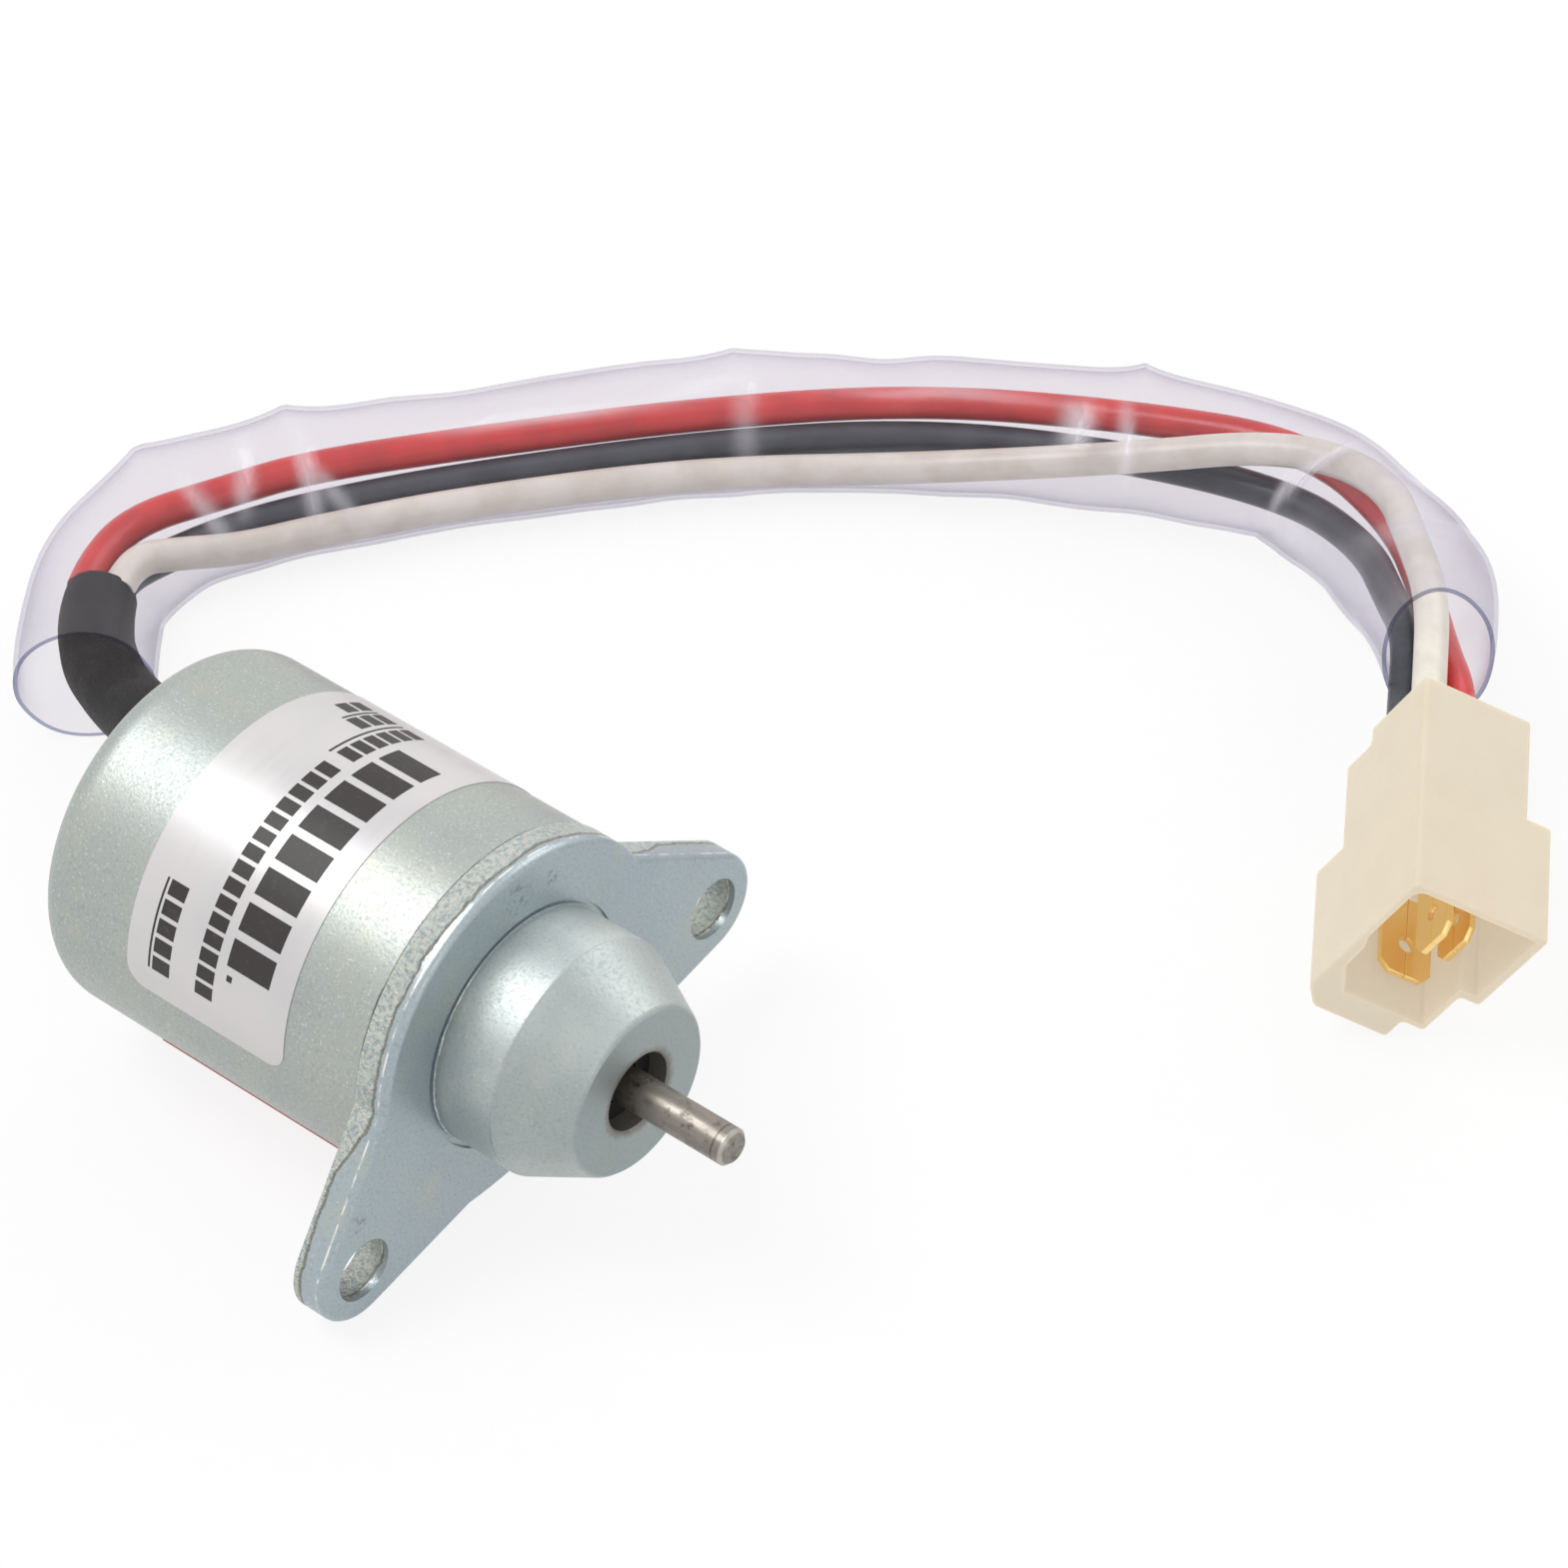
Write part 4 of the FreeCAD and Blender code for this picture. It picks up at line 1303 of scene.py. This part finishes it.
@dataclass(frozen=True)
class PrintedRow:
    """A row of plain printed blocks on the nameplate, or one rule.

    Attributes:
        along: Its start and end along the axis.
        turn: Its start and end round the can, in degrees.
        blocks: How many equal blocks it is broken into.
        filled: The share of each block's room that it fills.
    """

    along: tuple[float, float]
    turn: tuple[float, float]
    blocks: int = 1
    filled: float = 0.76

    def spans(self) -> list[tuple[float, float]]:
        """The start and end of each block round the can, in degrees."""
        start, end = self.turn
        if self.blocks == 1:
            return [self.turn]
        wide = (end - start) / (self.blocks - 1 + self.filled)
        return [(start + wide * k, start + wide * (k + self.filled)) for k in range(self.blocks)]


PRINT = [
    PrintedRow((-0.0230, -0.0171), (66.0, 153.0), 8),
    PrintedRow((-0.0267, -0.0243), (50.0, 81.0), 6),
    PrintedRow((-0.0267, -0.0243), (86.0, 167.0), 15),
    PrintedRow((-0.0275, -0.02725), (50.0, 82.0)),
    PrintedRow((-0.0305, -0.0282), (50.0, 66.0), 3),
    PrintedRow((-0.0311, -0.03085), (50.0, 66.0)),
    PrintedRow((-0.0336, -0.0316), (50.0, 61.5), 2),
    PrintedRow((-0.0328, -0.0304), (139.0, 168.0), 5),
    PrintedRow((-0.0334, -0.03315), (139.0, 168.0)),
    PrintedRow((-0.0227, -0.0220), (155.7, 157.6)),
]


@dataclass
class Can:
    """The can with its two labels.

    Attributes:
        radius: The can's radius.
        skin: How far the labels stand out.
        ink: How thick the print is.
        step: The longest length that a block is drawn with, in degrees.
        rows: The plain blocks and rules printed on the nameplate.
    """

    radius: float = 0.0208
    skin: float = 0.0001
    ink: float = 0.00003
    step: float = 2.5
    rows: list[PrintedRow] = field(default_factory=lambda: PRINT)

    def build(self, shop: Workshop) -> None:
        """Dress the can and its labels, and print the nameplate."""
        shop.dress("can", "housing_can")
        shop.dress("label", "nameplate_label")
        shop.dress("label_red", "underside_label")
        shop.piece("nameplate_print", self.printed(), ["ink"], Body.HOUSING)

    def printed(self) -> bmesh.types.BMesh:
        """The printed blocks, as thin plates bent round the can."""
        mesh = bmesh.new()
        for row in self.rows:
            for start, end in row.spans():
                self.print_block(mesh, row.along, start, end)
        bmesh.ops.recalc_face_normals(mesh, faces=mesh.faces)
        return mesh

    def print_block(self, mesh: bmesh.types.BMesh, along: tuple[float, float], start: float,
                    end: float) -> None:
        """Add one block: its cross-section is spun round the can's axis.

        Args:
            mesh: The mesh to add it to.
            along: Its start and end along the axis.
            start: Its start round the can, in degrees.
            end: Its end round the can, in degrees.
        """
        low, high = along
        base = self.radius + self.skin
        corners = [mesh.verts.new((x, 0.0, base + rise))
                   for x, rise in ((low, 0.0), (high, 0.0), (high, self.ink), (low, self.ink))]
        face = mesh.faces.new(corners)
        turn_about_axis(mesh, corners, start - 90.0)
        spin_about_axis(mesh, [face], end - start, max(2, int((end - start) / self.step)))


@dataclass
class FlangeAndNose:
    """The stamped flange, the turned nose and the rolled burr between them.

    Attributes:
        nose_radius: The nose's radius at its base.
        burr: The burr's height.
        burr_start: Where the burr starts round the nose, in degrees from +Y to +Z.
        burr_sweep: How far it reaches, in degrees.
        burr_steps: How many lengths it is drawn with.
        clearance: How far its middle stands off the flange and off the nose.
    """

    nose_radius: float = 0.0136
    burr: float = 0.00018
    burr_start: float = 112.0
    burr_sweep: float = 112.0
    burr_steps: int = 120
    clearance: tuple[float, float] = (0.00002, 0.00005)

    def build(self, shop: Workshop) -> None:
        """Dress the flange and nose and add the burr."""
        shop.dress("flange", "mounting_flange")
        shop.dress("nose", "nose")
        shop.piece("nose_burr", self.burr_arc(), ["nose"], Body.HOUSING)

    def burr_arc(self) -> bmesh.types.BMesh:
        """A small uneven roll of metal, thrown up where the nose is staked."""
        mesh = bmesh.new()
        rim = bmesh.ops.create_circle(mesh, cap_ends=True, segments=8,
                                      radius=self.burr)["verts"]
        turn_about_axis(mesh, rim, 90.0)
        forward, outward = self.clearance
        bmesh.ops.translate(mesh, verts=rim, vec=(forward, 0.0, self.nose_radius + outward))
        turn_about_axis(mesh, rim, self.burr_start - 90.0)
        spin_about_axis(mesh, mesh.faces[:], self.burr_sweep, self.burr_steps)
        for vertex in mesh.verts:
            out = Vector((0.0, vertex.co.y, vertex.co.z))
            turn = math.degrees(math.atan2(vertex.co.z, vertex.co.y)) % 360.0
            share = min(1.0, max(0.0, (turn - self.burr_start) / self.burr_sweep))
            middle = out.normalized() * self.nose_radius
            lump = 0.6 + 0.9 * noise.noise(out * 900.0) + 0.5 * noise.noise(out * 2500.0)
            height = max(0.2, lump) * max(0.05, math.sin(math.pi * share) ** 0.5)
            vertex.co = middle + (vertex.co - middle) * height
        bmesh.ops.recalc_face_normals(mesh, faces=mesh.faces)
        return mesh


@dataclass(frozen=True)
class PlugFrame:
    """The plug's own frame: a runs to its mouth, u and v lie across it.

    Attributes:
        origin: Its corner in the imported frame.
        yaw: How far it is turned about Z, in degrees.
        pitch: How far it is turned about Y.
        roll: How far it is turned about X.
    """

    origin: Point = (0.04743, 0.09153, 0.00779)
    yaw: float = -56.23
    pitch: float = 5.71
    roll: float = -31.65

    def matrix(self) -> Matrix:
        """What carries millimetres of a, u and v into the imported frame's metres."""
        turn = (Matrix.Rotation(math.radians(self.yaw), 4, "Z")
                @ Matrix.Rotation(math.radians(self.pitch), 4, "Y")
                @ Matrix.Rotation(math.radians(self.roll), 4, "X"))
        return (Matrix.Translation(self.origin) @ turn
                @ Matrix.Diagonal((0.001, 0.001, -0.001, 1.0)))


@dataclass(frozen=True)
class Prism:
    """A straight prism in the plug's frame, in millimetres, with rounded edges.

    Attributes:
        outline: The corners of its outline.
        start: Where it starts along its axis.
        end: Where it ends.
        across: Whether it runs along u, with its outline in a and v, or else along a.
        corner: How round its long edges are.
        lip: How round the edges of its far end are.
        heel: How round the edges of its near end are.
        flare: How far its far end widens on each side.
    """

    outline: list[tuple[float, float]]
    start: float
    end: float
    across: bool = False
    corner: float = 0.5
    lip: float = 0.0
    heel: float = 0.0
    flare: float = 0.0

    def mesh(self) -> bmesh.types.BMesh:
        """Draw the prism: its outline is extruded, and its edges are bevelled."""
        made = bmesh.new()
        axis = 1 if self.across else 0
        corners = [made.verts.new((p, self.start, q) if self.across else (self.start, p, q))
                   for p, q in self.outline]
        way = Vector((0.0, 1.0, 0.0) if self.across else (1.0, 0.0, 0.0))
        extrude(made, made.faces.new(corners), way * (self.end - self.start))
        round_edges(made, [edge for edge in made.edges
                           if abs(edge.verts[0].co[axis] - edge.verts[1].co[axis]) > NEAR_MM],
                    self.corner)
        round_edges(made, self.rim(made, axis, self.end), self.lip)
        round_edges(made, self.rim(made, axis, self.start), self.heel)
        if self.flare:
            self.widen(made)
        bmesh.ops.recalc_face_normals(made, faces=made.faces)
        return made

    def rim(self, made: bmesh.types.BMesh, axis: int, at: float) -> list[bmesh.types.BMEdge]:
        """The edges that lie in one of the prism's end planes."""
        return [edge for edge in made.edges
                if all(abs(vertex.co[axis] - at) < NEAR_MM for vertex in edge.verts)]

    def widen(self, made: bmesh.types.BMesh) -> None:
        """Extrude the far end once more, wider, for a chamfered mouth."""
        face = next(face for face in made.faces
                    if all(abs(vertex.co.x - self.end) < NEAR_MM for vertex in face.verts))
        middle = face.calc_center_bounds()
        size = [max(vertex.co[k] for vertex in face.verts)
                - min(vertex.co[k] for vertex in face.verts) for k in (1, 2)]
        verts = extrude(made, face, Vector((self.flare * 1.5, 0.0, 0.0)))
        bmesh.ops.scale(made, verts=verts, space=Matrix.Translation(-middle),
                        vec=(1.0, 1.0 + 2 * self.flare / size[0], 1.0 + 2 * self.flare / size[1]))
        if face.is_valid:
            bmesh.ops.delete(made, geom=[face], context="FACES_ONLY")


@dataclass(frozen=True)
class Blade:
    """One blade of the plug, folded from two thicknesses that meet along its middle.

    Attributes:
        name: The piece's name.
        node: The CAD node that it stands for.
        middle: The middle of its cross-section, as u and v.
        upright: Whether its width runs along v, or else along u.
        tip: Where its tip lies along a.
        root: Where it starts in the nylon.
        width: Its width.
        thick: Its thickness.
        chamfer: How much its tip's corners are cut.
        hole: The radius of its detent hole.
        hole_back: How far the hole lies behind the tip.
        edge: How round its edges are.
        sharp: The angle in degrees past which an edge is rounded.
        arc_steps: How many lengths each half of the hole is drawn with.
    """

    name: str
    node: str
    middle: tuple[float, float]
    upright: bool
    tip: float
    root: float = 7.0
    width: float = 6.3
    thick: float = 0.8
    chamfer: float = 1.2
    hole: float = 0.9
    hole_back: float = 4.2
    edge: float = 0.15
    sharp: float = 30.0
    arc_steps: int = 14

    def mesh(self) -> bmesh.types.BMesh:
        """Draw one half with half the hole in it, round its edges and turn a second out."""
        made = bmesh.new()
        half, low = self.width / 2, -self.thick / 2
        centre = self.tip - self.hole_back
        first = made.verts.new((centre - self.hole, 0.0, low))
        bmesh.ops.spin(made, geom=[first], cent=(centre, 0.0, low), axis=(0, 0, -1),
                       angle=math.pi, steps=self.arc_steps, use_duplicate=False)
        arc = sorted(made.verts, key=lambda vertex: vertex.co.x)
        corners = [made.verts.new((a, across, low)) for a, across in (
            (self.tip, 0.0), (self.tip, half - self.chamfer), (self.tip - self.chamfer, half),
            (self.root, half), (self.root, 0.0))]
        extrude(made, made.faces.new(arc + corners), Vector((0.0, 0.0, self.thick)))
        round_edges(made, [edge for edge in made.edges
                           if edge.calc_face_angle(0.0) > math.radians(self.sharp)],
                    self.edge, 2)
        other = bmesh.ops.duplicate(made, geom=made.verts[:] + made.edges[:] + made.faces[:])
        turn_about_axis(made, parts_of(other["geom"], bmesh.types.BMVert), 180.0)
        if self.upright:
            swapped = Matrix(((1, 0, 0, 0), (0, 0, 1, 0), (0, 1, 0, 0), (0, 0, 0, 1)))
            bmesh.ops.transform(made, matrix=swapped, verts=made.verts)
        bmesh.ops.translate(made, vec=(0.0, *self.middle), verts=made.verts)
        return made


@dataclass
class Plug:
    """The nylon plug and its three blades, in the plug's own frame.

    Attributes:
        frame: Where the plug lies.
        body: Its rear body, from the side.
        keel: The rib under its body.
        shroud: The shroud round its mouth.
        cavity: The room inside the shroud.
        blades: Its three blades.
        slot_end: Where the blades' slots in the nylon end along a.
        smooth: The angle in degrees up to which its edges shade smooth.
    """

    frame: PlugFrame = field(default_factory=PlugFrame)
    body: Prism = field(default_factory=lambda: Prism(
        [(0.0, 0.0), (14.2, 0.0), (14.2, 15.6), (2.2, 15.6), (2.2, 10.8), (0.0, 10.8)],
        0.0, 13.4, across=True, lip=0.5, heel=0.5))
    keel: Prism = field(default_factory=lambda: Prism(
        [(6.0, 9.0), (13.4, 9.0), (13.4, 19.6), (6.0, 19.6)], 5.6, 14.2, heel=0.4))
    shroud: Prism = field(default_factory=lambda: Prism(
        [(0.0, 0.0), (16.4, 0.0), (16.4, 13.2), (14.0, 13.2), (14.0, 20.2), (11.3, 20.2),
         (11.3, 23.4), (2.2, 23.4), (0.0, 20.6)], 13.6, 28.85, lip=0.25))
    cavity: Prism = field(default_factory=lambda: Prism(
        [(1.6, 0.8), (15.2, 0.8), (15.2, 12.0), (13.2, 12.0), (13.2, 19.3), (3.6, 19.3),
         (1.5, 15.9), (1.4, 11.9), (0.8, 10.3), (0.8, 1.6)], 14.8, 28.65, corner=0.3,
        flare=0.2))
    blades: list[Blade] = field(default_factory=lambda: [
        Blade("blade_flat", "ground_blade", (9.65, 17.7), False, 25.2),
        Blade("blade_middle", "pull_blade", (8.6, 10.05), True, 26.2),
        Blade("blade_side", "hold_blade", (12.0, 11.15), True, 24.8),
    ])
    slot_end: float = 15.2
    smooth: float = 50.0

    def build(self, shop: Workshop) -> list[bpy.types.Object]:
        """Make the housing and its blades.

        Args:
            shop: The workshop.

        Returns:
            The plug's pieces, its housing first.
        """
        pieces = [self.settled(shop, self.housing(), "plug_housing", "nylon",
                               "connector_housing")]
        for blade in self.blades:
            pieces.append(self.settled(shop, blade.mesh(), blade.name, "blade",
                                       blade.node))
        return pieces

    def settled(self, shop: Workshop, mesh: bmesh.types.BMesh, name: str, finish: str,
                node: str) -> bpy.types.Object:
        """Carry a mesh from the plug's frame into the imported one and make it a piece."""
        bmesh.ops.transform(mesh, matrix=self.frame.matrix(), verts=mesh.verts)
        bmesh.ops.recalc_face_normals(mesh, faces=mesh.faces)
        made = shop.piece(name, mesh, [finish], Body.HOUSING, [node], self.smooth)
        flats = made.modifiers.new("flats", "WEIGHTED_NORMAL")
        flats.keep_sharp = True
        return made

    def slots(self) -> bmesh.types.BMesh:
        """The slots in which the blades sit in the nylon."""
        made = bmesh.new()
        for blade in self.blades:
            cube = bmesh.ops.create_cube(made, size=1.0)["verts"]
            long = self.slot_end - blade.root
            wide, thick = blade.width, blade.thick
            size = (long, thick, wide) if blade.upright else (long, wide, thick)
            bmesh.ops.scale(made, vec=size, verts=cube)
            bmesh.ops.translate(made, vec=(blade.root + long / 2, *blade.middle), verts=cube)
        return made

    def housing(self) -> bmesh.types.BMesh:
        """Join the prisms and cut the cavity and the slots out of them."""
        whole = self.helper("plug_body", self.body.mesh())
        steps = [("UNION", self.keel.mesh()), ("UNION", self.shroud.mesh()),
                 ("DIFFERENCE", self.cavity.mesh()), ("DIFFERENCE", self.slots())]
        helpers = [whole]
        for number, (operation, mesh) in enumerate(steps):
            helper = self.helper(f"plug_step_{number}", mesh)
            joined = whole.modifiers.new(helper.name, "BOOLEAN")
            joined.operation = operation
            joined.solver = "EXACT"
            joined.object = helper
            helpers.append(helper)
        bpy.context.view_layer.update()
        drawn = bpy.data.meshes.new_from_object(
            whole.evaluated_get(bpy.context.evaluated_depsgraph_get()))
        made = bmesh.new()
        made.from_mesh(drawn)
        bpy.data.meshes.remove(drawn)
        for helper in helpers:
            data = helper.data
            bpy.data.objects.remove(helper)
            bpy.data.meshes.remove(data)
        bmesh.ops.remove_doubles(made, verts=made.verts, dist=NEAR_MM)
        return made

    def helper(self, name: str, mesh: bmesh.types.BMesh) -> bpy.types.Object:
        """A passing object that one step of the housing is worked out with."""
        data = bpy.data.meshes.new(name)
        mesh.to_mesh(data)
        mesh.free()
        return placed(name, data)


@dataclass
class Inside:
    """The pieces inside the can and the nose.

    Attributes:
        coils: How many turns the return spring has.
        coil_radius: Its radius at the middle of the wire.
        wire: Its wire's diameter.
        turn_steps: How many lengths each turn is drawn with.
        anchor: Where its fixed end lies along the axis.
        stroke: How far the plunger presses it in.
        wear: The CAD nodes that wear each finish.
    """

    coils: int = 8
    coil_radius: float = 0.0034
    wire: float = 0.0008
    turn_steps: int = 24
    anchor: float = -0.0385
    stroke: float = 0.012
    wear: dict[str, tuple[str, ...]] = field(default_factory=lambda: {
        "iron": ("pole_plate", "rear_pole", "plunger"),
        "spring": ("spring_washer", "rod_pin"),
        "brass": ("guide_tube", "pole_shim"),
        "bronze": ("rod_bushing",),
        "rubber": ("rod_seal", "bumper_ring", "cable_grommet"),
        "coil_plastic": ("bobbin",),
        "copper": ("pull_winding", "hold_winding"),
        "tape": ("coil_tape",),
        "rod": ("push_rod",),
    })

    def build(self, shop: Workshop) -> None:
        """Dress every piece inside, and wind the spring."""
        for finish, names in self.wear.items():
            shop.dress(finish, *names)
        low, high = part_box("return_spring")
        made = shop.piece("spring_coil", self.wound(low[0], high[0]), ["spring"], Body.HOUSING,
                          ["return_spring"])
        1.0 - self.stroke / (high[0] - self.anchor)
        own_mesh(made)

    def wound(self, rear: float, front: float) -> bmesh.types.BMesh:
        """The return spring: the wire's cross-section is spun along a helix.

        Args:
            rear: Where the spring starts along the axis.
            front: Where it ends.

        Returns:
            The spring.
        """
        mesh = bmesh.new()
        rim = bmesh.ops.create_circle(mesh, cap_ends=True, segments=10,
                                      radius=self.wire / 2)["verts"]
        bmesh.ops.translate(mesh, verts=rim, vec=(rear + self.wire / 2, self.coil_radius, 0.0))
        steps = self.coils * self.turn_steps
        spin_about_axis(mesh, mesh.faces[:], 360.0 * self.coils, steps,
                        (front - rear - self.wire) / steps)
        bmesh.ops.recalc_face_normals(mesh, faces=mesh.faces)
        return mesh


BOOT = Cord(
    "boot_black", "rubber", Slot.RUBBER, "lead_boot", 0.0086, 0.0593,
    [(-0.0479, 0.0112, -0.0030), (-0.0620, 0.0112, -0.0042), (-0.0749, 0.0164, -0.0108),
     (-0.0859, 0.0218, -0.0146), (-0.0920, 0.0272, -0.0149), (-0.0942, 0.0305, -0.0149)],
    "bare", sway=0.06)

SLEEVE = ClearSleeve(
    [(-0.0834, 0.0175, -0.0128), (-0.0898, 0.0243, -0.0128), (-0.0942, 0.0323, -0.0128),
     (-0.0948, 0.0413, -0.0128), (-0.0918, 0.0492, -0.0128), (-0.0862, 0.0578, -0.0128),
     (-0.0759, 0.0717, -0.0128), (-0.0573, 0.0924, -0.0128), (-0.0374, 0.1085, -0.0128),
     (-0.0159, 0.1202, -0.0128), (0.0031, 0.1271, -0.0122), (0.0170, 0.1246, -0.0098),
     (0.0281, 0.1165, -0.0062), (0.0371, 0.1078, -0.0022), (0.0417, 0.1021, -0.0005)],
    # A crease's white is the strength of a painted highlight streak along it.
    creases=[
        Crease(0.138, 52.0, -0.0024, 0.0030, 42.0),
        Crease(0.150, 140.0, 0.0016, 0.0014, 40.0, white=0.22, slant=0.00003),
        Crease(0.178, 115.0, 0.0008, 0.0012, 35.0, white=0.20, slant=-0.00004),
        Crease(0.212, 59.0, -0.0020, 0.0030, 42.0),
        Crease(0.214, 130.0, 0.0016, 0.0010, 48.0, white=0.26),
        Crease(0.230, 160.0, 0.0012, 0.0010, 35.0, white=0.20, slant=0.00006),
        Crease(0.300, 95.0, 0.0008, 0.0050, 60.0, False),
        Crease(0.350, 112.0, 0.0, 0.0100, 7.0, white=0.24, slant=0.0006),
        Crease(0.440, 100.0, 0.0, 0.0040, 11.0, white=0.18, slant=-0.0003),
        Crease(0.457, 60.0, -0.0015, 0.0045, 42.0),
        Crease(0.462, 130.0, 0.0014, 0.0014, 45.0, white=0.12),
        Crease(0.540, 85.0, 0.0009, 0.0040, 50.0, False),
        Crease(0.575, 108.0, 0.0, 0.0110, 6.0, white=0.16, slant=-0.0004),
        Crease(0.652, 125.0, 0.0016, 0.0017, 22.0, white=0.34),
        Crease(0.680, 60.0, -0.0020, 0.0030, 42.0),
        Crease(0.682, 140.0, 0.0016, 0.0009, 42.0, white=0.24, slant=0.00002),
        Crease(0.765, 215.0, 0.0008, 0.0025, 40.0),
        Crease(0.803, 120.0, 0.0020, 0.0009, 50.0, white=0.30, slant=-0.00004),
        Crease(0.835, 175.0, 0.0, 0.0060, 9.0, white=0.14),
        Crease(0.840, 40.0, 0.0014, 0.0060, 45.0, False),
        Crease(0.850, 215.0, -0.0012, 0.0150, 50.0, False),
        Crease(0.900, 60.0, 0.0010, 0.0040, 60.0),
    ])

LEADS = [
    Cord(
        "lead_red", "red", Slot.RED, "red_lead", 0.0039, 0.2098,
        [(-0.0960, 0.0295, -0.0138), (-0.09852, 0.03416, -0.01379), (-0.0995, 0.0420, -0.0139),
         (-0.0957, 0.0513, -0.0147), (-0.0901, 0.0605, -0.0140), (-0.0792, 0.0745, -0.0145),
         (-0.0603, 0.0955, -0.0144), (-0.0403, 0.1127, -0.0136), (-0.0181, 0.1249, -0.0131),
         (0.0024, 0.1318, -0.0117), (0.0184, 0.1269, -0.0115), (0.0298, 0.1170, -0.0094),
         (0.0386, 0.1076, -0.0061), (0.04543, 0.10126, -0.00376),
         (0.04986, 0.09464, -0.00456)],
        "connector", sway=0.05),
    Cord(
        "lead_black", "black", Slot.BLACK, "black_lead", 0.0039, 0.2026,
        [(-0.0940, 0.0306, -0.0172), (-0.09649, 0.03526, -0.01735), (-0.0962, 0.0415, -0.0181),
         (-0.0926, 0.0496, -0.0174), (-0.0873, 0.0586, -0.0173), (-0.0769, 0.0726, -0.0173),
         (-0.0582, 0.0933, -0.0170), (-0.0386, 0.1103, -0.0163), (-0.0167, 0.1220, -0.0165),
         (0.0034, 0.1276, -0.0161), (0.0172, 0.1230, -0.0133), (0.0270, 0.1139, -0.0091),
         (0.0354, 0.1056, -0.0036), (0.04052, 0.09765, -0.00510),
         (0.04594, 0.08954, -0.00607)],
        "connector", sway=0.05),
    Cord(
        "lead_white", "white", Slot.WHITE, "white_lead", 0.0039, 0.1980,
        [(-0.0923, 0.0315, -0.0136), (-0.09479, 0.03618, -0.01357), (-0.0922, 0.0412, -0.0148),
         (-0.0890, 0.0477, -0.0171), (-0.0836, 0.0560, -0.0171), (-0.0735, 0.0697, -0.0171),
         (-0.0552, 0.0902, -0.0172), (-0.0355, 0.1057, -0.0170), (-0.0147, 0.1176, -0.0129),
         (0.0027, 0.1277, -0.0085), (0.0170, 0.1268, -0.0057), (0.0275, 0.1173, -0.0029),
         (0.0365, 0.1083, 0.0006), (0.04271, 0.09912, -0.00118),
         (0.04713, 0.09251, -0.00198)],
        "connector", sway=0.05),
]


def main() -> None:
    """Build the studio and the object, sub-assembly by sub-assembly."""
    logging.basicConfig(level=logging.INFO, format="%(name)s: %(message)s")
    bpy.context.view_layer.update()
    PhotoCamera().build()
    paints = Paints()
    Studio().build(paints)
    shop = Workshop(paints)
    plug = Plug().build(shop)
    BOOT.build(shop)
    for lead in LEADS:
        lead.build(shop, plug[:1])
    SLEEVE.build(shop)
    Can().build(shop)
    FlangeAndNose().build(shop)
    Inside().build(shop)
    bpy.context.view_layer.update()


if __name__ == "__main__":
    main()
